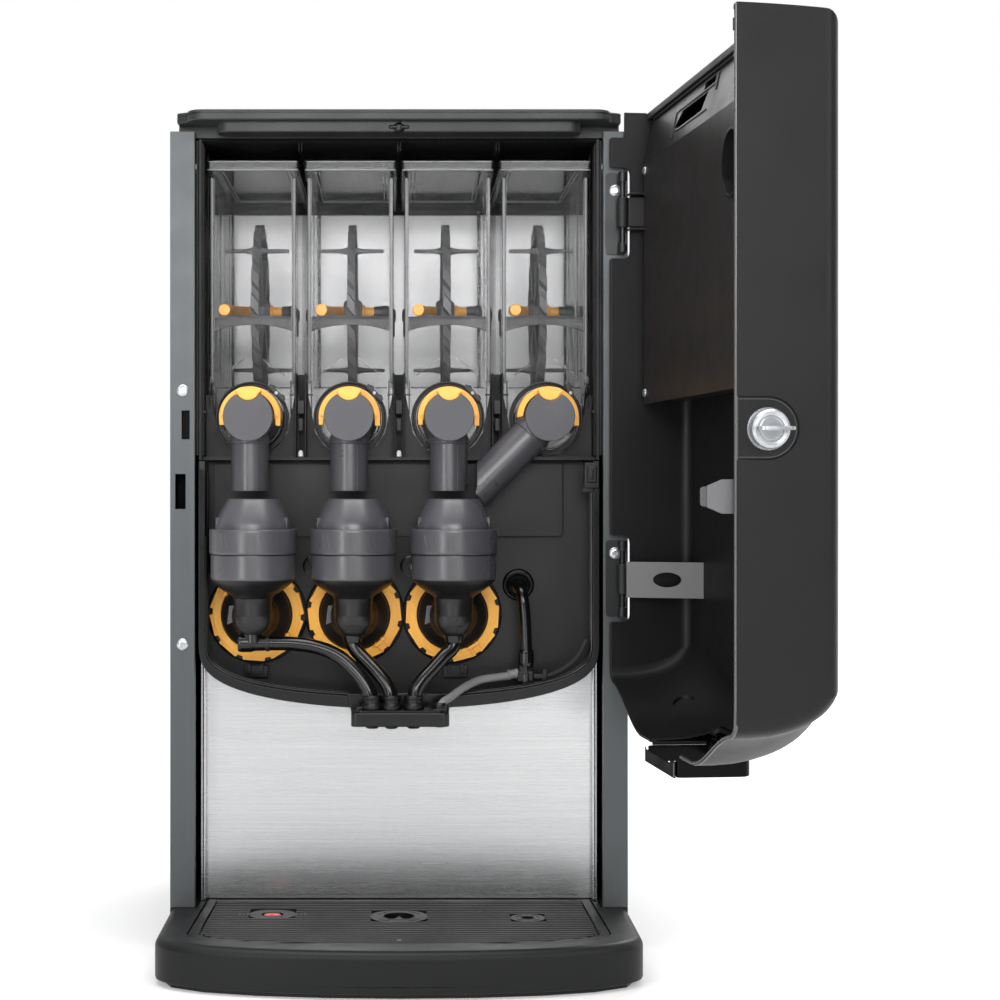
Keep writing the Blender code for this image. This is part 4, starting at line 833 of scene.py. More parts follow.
# sunk seats of the whippers, and the small catches under the outer rings
for k, cx in enumerate(MIX_X, 1):
    seat = lathe(rounded([(31.6, 0.2), (44.3, 0.2), (44.3, 2.6), (43.4, 3.6), (42.8, 3.6), (42.8, 0.9), (31.6, 0.9)], 0.4, 3), (cx, 40.1, RING_Z), (0, -1, 0), 80)
    piece(f"whipper_seat_{k}", seat, "rim", "cabinet")
    if k != 2:
        dx = -2.0 if k == 1 else 2.0
        catch = merged(box((cx - 9.5 + dx, 33.5, RING_Z - 56.5), (cx + 11.5 + dx, 39.8, RING_Z - 45.6), 0.8, 2),
                       box((cx - 6.0 + dx, 30.5, RING_Z - 52.0), (cx - 3.4 + dx, 34.5, RING_Z - 44.6), 0.5, 2),
                       box((cx + 5.0 + dx, 30.5, RING_Z - 52.0), (cx + 7.6 + dx, 34.5, RING_Z - 44.6), 0.5, 2))
        piece(f"ring_catch_{k}", catch, "fitting", "cabinet")
    # back boss of the whipper's inlet, seen at the left of each bowl
    boss = lathe(rounded([(0, 0), (9.6, 0), (9.6, 1.2), (8.2, 1.2), (8.2, 4.6), (0, 4.6)], 0.5, 2, False), (cx - 37.0, 39.8, 334.5), (0, -1, 0), 44, closed=False)
    piece(f"wall_boss_{k}", boss, "rim", "cabinet")
    tip = lathe(rounded([(0, 0), (3.4, 0), (3.4, 5.0), (2.2, 6.4), (0, 6.6)], 0.6, 2, False), (cx - 36.0, 35.2, 333.5), (0, -1, 0), 32, closed=False)
    piece(f"wall_boss_tip_{k}", tip, "mixer", "cabinet")

# grommet of the hot water pipe
grommet = lathe(rounded([(8.6, -2.0), (13.9, -2.0), (14.3, 0.9), (12.4, 2.6), (8.8, 1.6), (7.4, 0.4), (7.4, -1.6)], 0.6, 3), (106.5, 39.4, 318.0), (0, -1, 0), 56)
piece("pipe_grommet", grommet, "rim", "cabinet")

# latch block by the right post
block = merged(
    box((161.6, -2.6, 404.0), (175.0, 8.0, 426.6), 1.0, 3), box((164.4, -4.6, 409.0), (172.4, -1.0, 424.0), 0.9, 3),
    box((165.6, -6.2, 412.0), (169.4, -4.0, 421.0), 0.6, 2), box((160.8, -1.0, 400.4), (170.0, 6.0, 405.0), 0.7, 2))
piece("latch_block", block, "fitting", "cabinet")

# splash panel: folded side edges
for side, tag in ((-1, "left"), (1, "right")):
    a, b = sorted((side * 174.0, side * 171.4))
    fold = box((a, 27.8, 38.6), (b, 37.6, 266.0), 0.7, 3)
    piece(f"splash_fold_{tag}", fold, "splash", "cabinet")

# ---- hinge leaves on the right post ---------------------------------------------------------------
for tag, node, z0, z1 in (("upper", "hinge_leaf_upper", 608.0, 679.0), ("lower", "hinge_leaf_lower", 292.0, 359.0)):
    x, y = HINGE
    leaf = plate([rect(180.4, z0, 198.8, z1, 3.0, 4)], -1.9, -0.5, "Y", 0.3, 2)
    knuckles = []
    for a, b in ((z0 + 0.6, z0 + 9.0), (z1 - 9.0, z1 - 0.6)):
        knuckles.append(lathe(rounded([(0, a), (3.9, a), (3.9, b), (0, b)], 0.6, 3, False), (x, y, 0), (0, 0, 1), 36, closed=False))
        knuckles.append(box((x - 3.4, y + 0.4, a), (x + 3.4, -1.0, b), 0.4, 1))
    pin = lathe(rounded([(0, z0 + 0.4), (2.5, z0 + 0.4), (2.5, z1 - 0.8), (3.4, z1 - 0.8), (3.4, z1 - 0.1), (0, z1 + 0.0)], 0.3, 2, False), (x, y, 0), (0, 0, 1), 32, closed=False)
    piece(f"hinge_leaf_{tag}_skin", merged(leaf, *knuckles), "leaf", "cabinet", node)
    piece(f"hinge_pin_{tag}", pin, "pin", "cabinet")


# ------------------------------------------------------------------------------------------------
# Canisters with their wheels, axles, lids, outlet elbows and locking rings
# ------------------------------------------------------------------------------------------------
CAN_HALF, CAN_Y0, CAN_Y1, CAN_TOP, LID_TOP = 38.2, 39.5, 267.0, 687.0, 697.0


def canister_outline(cx, inset=0.0, top=CAN_TOP):
    half, r = CAN_HALF - inset, 31.0 - inset
    return ([(cx + half, top), (cx + half, 503.0), (cx + half - 0.6, 500.0)] + circle(cx, OUT_Z, r, 25, 0, -180)
            + [(cx - half + 0.6, 500.0), (cx - half, 503.0), (cx - half, top)])


def canister_shell(cx):
    body = plate([canister_outline(cx)], CAN_Y0, CAN_Y1, "Y")
    cut(body, plate([canister_outline(cx, 2.0, CAN_TOP + 6)], CAN_Y0 + 2.0, CAN_Y1 - 2.0, "Y"))
    rim = plate([rect(cx - 40.6, 37.6, cx + 40.6, 269.0, 3.0, 4), rect(cx - 36.4, 41.3, cx + 36.4, 265.2, 2.0, 3)], 682.0, CAN_TOP, "Z", 0.5, 2)
    snout = lathe(rounded([(23.4, 20.0), (25.3, 20.0), (25.3, 41.0), (23.4, 41.0)], 0.4, 2), (cx, 0, OUT_Z), (0, 1, 0), 64)
    combine(body, rim, snout)
    cut(body, cylinder((cx, 25.0, OUT_Z), (cx, CAN_Y0 + 5.0, OUT_Z), 23.4, 64))
    cut(body, cylinder((cx, CAN_Y1 - 6, OUT_Z), (cx, CAN_Y1 + 5, OUT_Z), 5.6))
    return body


def vertical_strip(x0, x1, y0, y1, z0, z1, bevel=0.4):
    return box((min(x0, x1), y0, z0), (max(x0, x1), y1, z1), bevel, 2)


def wheel_shape():
    """Toothed agitator wheel with slanted teeth, four arms, a hub and two stirring rods."""
    outline = []
    step = 360.0 / WHEEL_TEETH
    for k in range(WHEEL_TEETH):
        a = -90.0 + k * step
        for r, off in ((WHEEL_R - 0.8, -0.26), (WHEEL_R, -0.21), (WHEEL_R, 0.21), (WHEEL_R - 0.8, 0.26), (74.4, 0.34), (74.0, 0.4), (74.0, 0.6), (74.4, 0.66)):
            ang = math.radians(a + off * step)
            outline.append((WHEEL_Y + r * math.cos(ang), WHEEL_Z + r * math.sin(ang)))
    windows = []
    for k in range(4):
        a0 = 45 + k * 90 + 10
        windows.append(rounded(circle(WHEEL_Y, WHEEL_Z, 69.0, 14, a0 - 4, 78) + circle(WHEEL_Y, WHEEL_Z, 15.0, 7, a0 + 52, -34), 1.2, 2))
    wheel = plate([outline] + windows, -3.5, 3.5, "X")
    for v in wheel.data.vertices:
        r = math.hypot(v.co.y - WHEEL_Y * MM, v.co.z - WHEEL_Z * MM)
        if r > 0.070:
            twist = math.radians(3.0) * v.co.x / 0.0035
            y, z = v.co.y - WHEEL_Y * MM, v.co.z - WHEEL_Z * MM
            v.co.y = WHEEL_Y * MM + y * math.cos(twist) - z * math.sin(twist)
            v.co.z = WHEEL_Z * MM + y * math.sin(twist) + z * math.cos(twist)
    bevelled(wheel, 0.5, 2, 32)
    rim_band = lathe(rounded([(69.2, -2.2), (73.2, -2.2), (73.2, 2.2), (69.2, 2.2)], 0.5, 2), (0, WHEEL_Y, WHEEL_Z), (1, 0, 0), 96)
    hub = lathe(rounded([(5.4, -8.6), (9.6, -8.6), (12.4, -4.2), (12.4, 4.2), (9.6, 8.6), (5.4, 8.6)], 0.7, 3), (0, WHEEL_Y, WHEEL_Z), (1, 0, 0), 48)
    parts = [wheel, rim_band, hub]
    for side in (1, -1):
        y, z = WHEEL_Y - side * 48.0, WHEEL_Z + side * 52.0
        rod = lathe(rounded([(0, -29.5), (1.7, -29.5), (2.1, -10.0), (3.1, -6.4), (3.6, -4.0), (3.6, 4.0), (3.1, 6.4), (2.1, 10.0), (1.7, 29.5), (0, 29.5)], 0.5, 2, False),
                    (0, y, z), (1, 0, 0), 28, closed=False)
        parts.append(rod)
    return merged(*parts)


def axle_shape():
    """Pull-out axle: a bent grip that reaches the front wall, a flange and a plain pin."""
    path = smooth_route([(-4.9, 140, 570.0), (-10.0, 137, 570.0), (-16.5, 126, 569.4), (-22.0, 108, 568.2), (-25.4, 84, 566.6), (-26.0, 60, 565.0), (-26.0, 44.6, 564.0)], 3.0)
    grip = tube(path, 5.1, 28)
    end = lathe(rounded([(0, 0), (4.7, 0), (5.3, 0.7), (5.3, 8.0), (4.6, 10.0), (0, 10.0)], 0.3, 3, False), (-26.0, 43.4, 564.0), (0, 1, 0), 44, closed=False)
    collar = lathe(rounded([(0, -15.0), (4.9, -15.0), (5.2, -11.6), (6.0, -9.2), (0, -9.2)], 0.5, 2, False), (0, 140, 570), (1, 0, 0), 40, closed=False)
    flange = lathe(rounded([(0, 9.0), (6.9, 9.0), (7.1, 10.6), (5.2, 12.0), (4.7, 14.5), (4.5, 21.0), (0, 21.2)], 0.4, 2, False), (0, 140, 570), (1, 0, 0), 40, closed=False)
    pin = lathe([(0, -9.4), (4.6, -9.4), (4.6, 9.4), (0, 9.4)], (0, 140, 570), (1, 0, 0), 36, closed=False)
    return merged(grip, end, collar, flange, pin)


def sleeve_shape():
    sleeve = lathe(rounded([(0, 20.0), (5.6, 20.0), (5.6, 27.0), (6.4, 27.6), (6.4, 31.4), (5.4, 34.4), (0, 35.4)], 0.5, 3, False), (0, 140, 570), (1, 0, 0), 40, closed=False)
    return sleeve


def bridge_shape():
    """Cross web moulded behind the front wall, arched below."""
    lower = [(-36.0, 544.0)] + [(-36.0 + 72.0 * t / 16, 544.0 + 7.0 * math.sin(math.pi * t / 16) ** 0.7) for t in range(1, 16)] + [(36.0, 544.0)]
    upper = [(36.0, 556.5), (24.0, 559.0), (-24.0, 559.0), (-36.0, 556.5)]
    web = plate([lower + upper], 46.0, 49.0, "Y", 0.6, 2, 40)
    shelf = box((-35.6, 46.0, 555.6), (35.6, 66.0, 558.2), 0.6, 2)
    cut(shelf, box((-5.4, 56.4, 550.0), (5.4, 70.0, 562.0)))      # room for the wheel's teeth
    return merged(web, shelf)


wheel_mesh = wheel_shape()
axle_mesh = axle_shape()
sleeve_mesh = sleeve_shape()
bridge_mesh = bridge_shape()


def copied(obj, dx):
    shape = to_object(obj.data.copy())
    shape.data.transform(Matrix.Translation((dx * MM, 0, 0)))
    return shape


for k, cx in enumerate(CAN_X, 1):
    body = f"canister_{k}_body"
    piece(f"canister_shell_{k}", canister_shell(cx), "clear", body, f"canister_{k}", 30)
    painted_dark_strips, lights = [], []
    for side in (-1, 1):
        e = cx + side * CAN_HALF
        painted_dark_strips.append(vertical_strip(e, e - side * 3.0, CAN_Y0 - 0.2, CAN_Y0 + 2.2, 498.0, 681.6))
        painted_dark_strips.append(vertical_strip(e, e - side * 2.4, CAN_Y1 - 2.6, CAN_Y1 + 0.1, 504.0, 681.6))
        lights.append(vertical_strip(e - side * 3.3, e - side * 3.7, CAN_Y0 + 0.2, CAN_Y0 + 0.7, 500.0, 680.0, 0.1))
    # dark corner strips: painted shade of the clear walls seen edge-on
    piece(f"canister_corner_shade_{k}", merged(*painted_dark_strips), "edge_painted_shade", body)
    ribs = []
    for side in (-1, 1):
        e = cx + side * (CAN_HALF - 2.0)
        for y in (52.0, 118.0, 214.0):
            ribs.append(vertical_strip(e, e - side * 0.9, y, y + 2.2, 504.0, 680.0, 0.2))
        for y in (246.0, 254.0):
            ribs.append(vertical_strip(e, e - side * 1.6, y, y + 1.2, 504.0, 680.0, 0.2))
    # ribs in the dark-tinted clear: painted shade
    piece(f"canister_ribs_{k}", merged(*ribs), "clear_with_painted_shade", body)
    # thin light strips beside the corners: painted glints
    piece(f"canister_painted_glints_{k}", merged(*lights), "painted_highlight_line", body)
    # front wall: frame lines of the moulding, low slope ribs, the step where the trough begins
    low = [
        sweep_section([Vector((cx - 28, 41.9, 505)), Vector((cx - 12, 41.9, 517)), Vector((cx - 8, 41.9, 520))], [(-0.5, -0.3), (0.5, -0.3), (0.5, 0.3), (-0.5, 0.3)]),
        sweep_section([Vector((cx + 28, 41.9, 505)), Vector((cx + 12, 41.9, 517)), Vector((cx + 8, 41.9, 520))], [(-0.5, -0.3), (0.5, -0.3), (0.5, 0.3), (-0.5, 0.3)]),
        box((cx - 33, 41.4, 493.4), (cx + 33, 42.3, 494.6), 0.2, 1)]
    piece(f"canister_slope_ribs_{k}", merged(*low), "clear_with_painted_shade", body)
    foot = []
    for side in (-1, 1):
        foot.append(vertical_strip(cx + side * 33.8, cx + side * 35.0, 30.0, 39.2, 470.0, 500.0, 0.3))
        foot.append(vertical_strip(cx + side * 37.4, cx + side * 38.4, 31.0, 39.2, 476.0, 504.0, 0.3))
        foot.append(box((cx + side * 36.0 - 3.0, 31.0, 486.5), (cx + side * 36.0 + 3.0, 38.8, 488.0), 0.3, 1))
    piece(f"canister_feet_{k}", merged(*foot), "clear_with_painted_shade", body)

    # lid with its frame and underside ribs
    lid = plate([rect(cx - 41.4, 36.8, cx + 41.4, 269.8, 3.0, 4)], 687.4, LID_TOP, "Z", 0.8, 3, 40)
    cut(lid, plate([rect(cx - 38.6, 39.6, cx + 38.6, 267.0, 2.4, 3)], LID_TOP - 2.5, LID_TOP + 3))
    cut(lid, plate([rect(cx - 36.0, 42.0, cx + 36.0, 264.0, 2.4, 3)], 685.0, 691.6))
    piece(f"lid_skin_{k}", lid, "smoke", f"lid_{k}", f"canister_lid_{k}", 35)
    # thin light strips along the lid's edges and over its underside: painted highlights
    edge = []
    for side in (-1, 1):
        for off in (28.5, 31.6):
            edge.append(vertical_strip(cx + side * off, cx + side * (off + 0.9), 44.0, 262.0, 690.2, 691.8, 0.2))
    edge.append(box((cx - 40.6, 36.5, 687.7), (cx + 40.6, 37.1, 688.5), 0.2, 1))
    edge.append(box((cx - 39.6, 36.55, 695.4), (cx + 39.6, 37.1, 696.0), 0.2, 1))
    edge.append(box((cx - 31.0, 258.0, 690.4), (cx + 31.0, 259.0, 691.8), 0.2, 1))
    piece(f"lid_painted_highlights_{k}", merged(*edge), "painted_highlight_line", f"lid_{k}")

    # wheel, its pull-out axle and the moulded web behind the front wall, whose dark grey is partly painted shade under
    # the axle
    piece(f"wheel_skin_{k}", copied(wheel_mesh, cx), "wheel", f"wheel_{k}", f"agitator_wheel_{k}", 30)
    piece(f"axle_{k}", copied(axle_mesh, cx), "orange", body)
    piece(f"axle_sleeve_{k}", copied(sleeve_mesh, cx), "web", body)
    piece(f"front_web_{k}", copied(bridge_mesh, cx), "web", body)
    caps = []
    for side in (-1, 1):
        caps.append(lathe(rounded([(0, 0), (5.6, 0), (5.6, 1.6), (4.6, 2.4), (0, 2.6)], 0.4, 2, False), (cx + side * CAN_HALF, 62.0, 560.0), (side, 0, 0), 36, closed=False))
        caps.append(box((cx + side * 38.9 - 0.8, 56.5, 541.0), (cx + side * 38.9 + 0.8, 66.0, 566.0), 0.4, 2))
    piece(f"web_caps_{k}", merged(*caps), "fitting", body)
    dress(f"auger_{k}", "auger")
for scrap in (wheel_mesh, axle_mesh, sleeve_mesh, bridge_mesh):
    bpy.data.objects.remove(scrap, do_unlink=True)

# ---- outlet elbows and locking rings ---------------------------------------------------------------
ELBOW_R, ELBOW_Y0, CHUTE_R, CHUTE_Y = 21.5, -24.0, 16.4, 3.0
TONGUE_Z = 24.2     # centre of the half-moon notch over the elbow's axis


def cap_outline(cx, r=ELBOW_R, notch=11.2):
    """The elbow's round face with a half-moon notch at its top."""
    pts = []
    rise = TONGUE_Z
    half = math.degrees(math.acos((r * r + rise * rise - notch * notch) / (2 * r * rise)))
    for i in range(73):
        a = math.radians(90 + half + (360 - 2 * half) * i / 72)
        pts.append((cx + r * math.cos(a), OUT_Z + r * math.sin(a)))
    x1, z1 = pts[-1][0] - cx, pts[-1][1] - OUT_Z - rise
    a1 = math.degrees(math.atan2(z1, x1))
    a0 = -180 - a1
    for i in range(1, 20):
        a = math.radians(a1 + (a0 - a1) * i / 20)
        pts.append((cx + notch * math.cos(a), OUT_Z + rise + notch * math.sin(a)))
    return pts


for k, cx in enumerate(CAN_X, 1):
    body = f"outlet_{k}"
    face = plate([cap_outline(cx)], ELBOW_Y0, -19.4, "Y", 0.7, 3, 50)
    piece(f"elbow_face_{k}", face, "disc", body)
    barrel = lathe(rounded([(0, -19.6), (20.9, -19.6), (20.9, 19.6), (19.2, 19.6), (19.2, -16.0), (0, -16.0)], 0.4, 2, False), (cx, 0, OUT_Z), (0, 1, 0), 72, closed=False)
    if k < 4:
        run = Vector((0, 0, -1))
        length = OUT_Z - 401.8
    else:
        run = Vector((-1, 0, -1)).normalized()
        length = 107.0
    start = Vector((cx, CHUTE_Y, OUT_Z))
    end = start + run * length
    chute = lathe(rounded([(CHUTE_R, 15.0), (CHUTE_R, length), (CHUTE_R - 1.8, length), (CHUTE_R - 1.8, 15.0)], 0.35, 2), start, run, 64)
    neck = lathe(rounded([(CHUTE_R - 1.0, 16.0), (CHUTE_R + 1.0, 17.5), (CHUTE_R + 1.0, 22.6), (CHUTE_R, 23.6), (CHUTE_R - 1.0, 23.6)], 0.4, 2), start, run, 64)
    if k == 4:
        trim = [[(68.0, 440), (68.0, 398.8), (79.0, 384.5), (79.0, 340), (10, 340), (10, 440)]]
        cut(chute, plate(trim, -30, 40, "Y"))
    cut(barrel, cylinder(start + run * 5.0, start + run * 40.0, CHUTE_R - 1.6, 48))
    seam = box((CHUTE_R - 0.5, -0.4, 0), (CHUTE_R + 0.35, 0.4, length - 24.0), 0.15, 1)
    turn = run.to_track_quat("Z", "Y").to_matrix().to_4x4()
    lines = []
    for ang in (-118.0,):
        s = box((CHUTE_R - 0.4, -0.35, 24.0), (CHUTE_R + 0.25, 0.35, length - 1.0), 0.1, 1)
        s.data.transform(Matrix.Translation(start * MM) @ turn @ Matrix.Rotation(math.radians(ang), 4, "Z"))
        lines.append(s)
    bpy.data.objects.remove(seam, do_unlink=True)
    piece(f"elbow_skin_{k}", merged(barrel, chute, neck, *lines), "mixer", body, f"outlet_elbow_{k}", 32)

    # C-ring with hooked ends, and its tongue that fills the notch
    sweep = 190.0 if k < 4 else 184.0
    a0 = -5.0 if k < 4 else -4.0
    outer = circle(cx, OUT_Z, 26.9, 56, a0, sweep)
    inner = circle(cx, OUT_Z, 21.6, 56, a0 + sweep, -sweep)
    ring = plate([outer + inner], 1.0, 19.4, "Y", 0.6, 3, 50)
    hooks = []
    if k < 4:
        hooks.append(box((cx - 26.6, 0.6, OUT_Z - 6.8), (cx - 22.6, 12.0, OUT_Z + 1.0), 0.6, 2))
    hooks.append(box((cx + 22.4, 0.4, OUT_Z - 7.6), (cx + 26.8, 12.0, OUT_Z + 1.0), 0.6, 2))
    lip = plate([circle(cx, OUT_Z, 25.8, 48, 2.0, 176.0) + circle(cx, OUT_Z, 22.0, 48, 178.0, -176.0)], -1.2, 1.6, "Y", 0.5, 2, 50)
    tongue_pts = []
    for i in range(41):
        a = math.radians(-200 + 220 * i / 40)
        tongue_pts.append((cx + 10.6 * math.cos(a), OUT_Z + TONGUE_Z + 10.6 * math.sin(a)))
    bound = 25.6
    shaped = []
    for x, z in tongue_pts:
        dx, dz = x - cx, z - OUT_Z
        d = math.hypot(dx, dz)
        if d > bound:
            dx, dz = dx * bound / d, dz * bound / d
        shaped.append((cx + dx, OUT_Z + dz))
    top = [(cx + bound * math.cos(math.radians(a)), OUT_Z + bound * math.sin(math.radians(a))) for a in range(72, 109, 4)]
    # drop doubled points on the rim before closing with the top arc
    keep = [p for p in shaped if math.hypot(p[0] - cx, p[1] - OUT_Z) < bound - 0.05]
    tongue = plate([keep + top], -21.6, 4.0, "Y", 0.9, 3, 50)
    wedge = plate([[(cx + 7.0, OUT_Z + 19.2), (cx + 10.6, OUT_Z + 20.6), (cx + 11.0, OUT_Z + 23.0), (cx + 9.2, OUT_Z + 22.6)]], -22.6, -18.0, "Y", 0.4, 2)
    piece(f"locking_ring_skin_{k}", merged(ring, lip, tongue, wedge, *hooks), "orange", body, f"locking_ring_{k}", 32)
    thin = lathe(rounded([(26.2, 0.0), (28.0, 0.0), (28.0, 1.6), (26.2, 1.6)], 0.3, 2), (cx, 21.6, OUT_Z), (0, -1, 0), 80)
    piece(f"snout_gasket_{k}", thin, "hose", f"canister_{k}_body")


# ------------------------------------------------------------------------------------------------
# Mixers: hood, bowl, whipper housing, bayonet ring, impeller
# ------------------------------------------------------------------------------------------------
def curve_profile(points, steps=6):
    """A smooth run through (radius, height) points."""
    return [(p.x, p.z) for p in smooth_route([(r, 0.0, h) for r, h in points], 1.4)]


for k, cx in enumerate(MIX_X, 1):
    outside = curve_profile([(22.6, 394.4), (25.4, 389.4), (29.8, 380.4), (32.4, 373.4), (33.2, 366.8)])
    hood = lathe([(21.4, 395.0), (22.4, 395.0)] + outside + [(31.6, 366.6)]
                 + [(r - 1.8, h) for r, h in reversed(outside[1:-1])] + [(20.8, 394.2)], (cx, MIX_Y, 0), sides=80)
    fins = []
    for a in (200.0, 338.0):
        x, y = cx + 30.6 * math.cos(math.radians(a)), MIX_Y + 30.6 * math.sin(math.radians(a))
        fin = box((-1.0, -1.2, 367.0), (2.6, 1.2, 379.0), 0.5, 2)
        fin.data.transform(Matrix.Translation((x * MM, y * MM, 0)) @ Matrix.Rotation(math.radians(a), 4, "Z"))
        fins.append(fin)
    piece(f"hood_skin_{k}", merged(hood, *fins), "mixer", "cabinet", f"mixer_funnel_{k}", 40)

    collar = lathe(rounded([(34.0, 347.4), (37.2, 347.4), (37.7, 349.0), (37.7, 367.0), (37.2, 369.0), (34.0, 369.0)], 0.7, 3), (cx, MIX_Y, 0), sides=96)
    band = lathe(rounded([(36.0, 350.4), (37.6, 350.4), (37.6, 351.0), (36.0, 351.0)], 0.1, 1), (cx, MIX_Y, 0), sides=96)
    grips = []
    # plain slanted grip ribs round the collar
    for a in range(-132, -44, 8):
        bar = box((-0.5, -0.45, -5.6), (0.28, 0.45, 5.6), 0.2, 1)
        ang = math.radians(a)
        bar.data.transform(Matrix.Translation(((cx + 37.5 * math.cos(ang)) * MM, (MIX_Y + 37.5 * math.sin(ang)) * MM, 358.6 * MM))
                           @ Matrix.Rotation(ang, 4, "Z") @ Matrix.Rotation(math.radians(12.0), 4, "X"))
        grips.append(bar)
    cone = curve_profile([(36.2, 326.0), (33.4, 322.0), (26.8, 316.6), (20.6, 312.6), (17.2, 309.6), (16.2, 305.0), (16.0, 297.0)])
    bowl = lathe([(34.2, 347.6), (35.9, 347.6), (36.3, 346.6), (36.4, 327.4)] + cone + [(10.0, 297.0), (10.0, 309.5), (32.8, 328.0), (34.4, 346.0)],
                 (cx, MIX_Y, 0), sides=96)
    chamber_profile = curve_profile([(15.2, 8.0), (15.3, -6.0), (15.6, -14.0), (17.4, -22.0), (21.6, -30.0), (27.4, -36.6), (30.4, -40.4)])
    dome_top = [(15.8 * math.sin(math.radians(a)) ** 0.72, 1.2 + 12.2 * math.cos(math.radians(a)) ** 0.72) for a in range(0, 90, 9)] + [(15.8, 1.2)]
    chamber = lathe(dome_top + chamber_profile[1:] + [(30.4, -53.4), (28.6, -53.4), (28.6, -42.0), (12.2, -14.0), (12.2, 2.0), (0, 4.0)],
                    (cx, MIX_Y - 1.5, RING_Z), (0, -1, 0), 80, closed=False)
    nose = lathe(rounded([(0, 13.4), (3.0, 13.3), (3.0, 13.9), (0, 14.1)], 0.2, 2, False), (cx, MIX_Y - 1.5, RING_Z), (0, -1, 0), 32, closed=False)
    saddle = lathe(curve_profile([(17.0, 309.0), (16.4, 304.0), (16.2, 294.0)]) + [(9.0, 294.0), (9.0, 309.0)], (cx, MIX_Y - 1.0, 0), sides=64)
    parts = [bowl, chamber, nose, saddle]
    if k > 1:
        parts.append(lathe(rounded([(0, 6.0), (14.2, 6.0), (11.4, 12.6), (7.4, 16.2), (6.4, 18.0), (0, 18.0)], 1.2, 3, False), (cx, -17.0, RING_Z), (0, 0, -1), 56, closed=False))
    piece(f"bowl_skin_{k}", merged(*parts), "dome", "cabinet", f"mixer_bowl_{k}", 40)
    body_shell = lathe([(36.45, 346.4), (36.55, 345.8), (36.55, 327.6), (36.1, 325.6), (35.4, 325.4), (35.4, 346.4)], (cx, MIX_Y, 0), sides=96)
    ribs = []
    piece(f"bowl_collar_{k}", merged(collar, band, *grips), "mixer", "cabinet", (), 40)
    piece(f"bowl_band_{k}", body_shell, "mixer", "cabinet", (), 40)

    # flared back plate's web, a lighter grey wedge on its left that is a painted highlight, and the dark clamp disc
    # behind it
    web = plate([[(cx - 23.0, RING_Z + 9.0), (cx - 14.5, RING_Z + 9.0), (cx - 14.5, RING_Z + 2.0), (cx - 20.0, RING_Z - 6.0), (cx - 25.0, RING_Z - 8.0)]], 12.0, 14.4, "Y", 0.7, 2)
    piece(f"whipper_flare_painted_highlight_{k}", web, "mixer", "cabinet")

    # bayonet ring: notched rim, a chamfered inner lip and two raised grips
    turn = {1: 8.0, 2: 0.0, 3: -9.0}[k]
    pts = []
    for j in range(10):
        a = j * 36.0 + 6.0 + turn
        for r, off in ((41.6, -13.6), (42.1, -12.8), (42.1, 12.8), (41.6, 13.6), (39.4, 14.6), (39.4, 21.4)):
            ang = math.radians(a + off)
            pts.append((cx + r * math.cos(ang), RING_Z + r * math.sin(ang)))
    ring = plate([pts, circle(cx, RING_Z, 31.8, 96)], 30.6, 39.4, "Y", 0.6, 2, 40)
    lip = lathe(rounded([(31.8, 0.0), (37.4, 0.0), (38.4, 1.2), (38.4, 3.0), (31.8, 3.0)], 0.5, 3), (cx, 32.4, RING_Z), (0, -1, 0), 96)
    grips = []
    for a in (133.0 + turn, 133.0 + turn + 180.0):
        tab = merged(
            box((30.6, 26.0, -4.4), (41.4, 33.0, -2.4), 0.5, 2), box((30.6, 26.0, 2.4), (41.4, 33.0, 4.4), 0.5, 2),
            box((31.4, 24.6, -5.6), (34.6, 31.6, 5.6), 0.8, 3), box((34.0, 28.6, -2.8), (40.6, 31.6, 2.8), 0.5, 2))
        tab.data.transform(Matrix.Translation((cx * MM, 0, RING_Z * MM)) @ Matrix.Rotation(math.radians(-a), 4, "Y"))
        grips.append(tab)
    piece(f"bayonet_skin_{k}", merged(ring, lip, *grips), "ring_orange", f"bayonet_{k}", f"bayonet_ring_{k}", 32)
    dark = lathe(rounded([(29.2, 0.0), (31.6, 0.0), (31.6, 7.0), (29.2, 7.0)], 0.3, 2), (cx, 39.6, RING_Z), (0, -1, 0), 96)
    piece(f"whipper_clamp_{k}", dark, "black", "cabinet")
    dress(f"mixer_impeller_{k}", "nub")

# ------------------------------------------------------------------------------------------------
# Hoses, outlet block, hot water pipe
# ------------------------------------------------------------------------------------------------
ROUTES = {
    "left": [(-132.7, -17, 270.0), (-122, -18, 270.0), (-108, -19, 270.2), (-90, -20, 269.8), (-70, -22, 266.8),
             (-53, -24, 260.0), (-39.5, -27, 249.0), (-29.5, -30, 236.8), (-24.0, -32, 224.0), (-23.0, -32, 200.0)],
    "middle": [(-40.2, -17, 274.0), (-40.2, -17, 269.5), (-36.6, -18.6, 263.5), (-28.5, -22, 255.5), (-18.5, -27, 245.5),
               (-10.0, -31, 234.8), (-6.9, -33, 224.0), (-6.4, -33, 200.0)],
    "right": [(47.9, -17, 274.0), (47.9, -17, 269.5), (44.9, -18.4, 264.5), (39.0, -21, 259.5), (29.0, -25, 248.8),
              (18.8, -29, 238.0), (13.6, -31.5, 227.0), (12.5, -32, 200.0)],
}


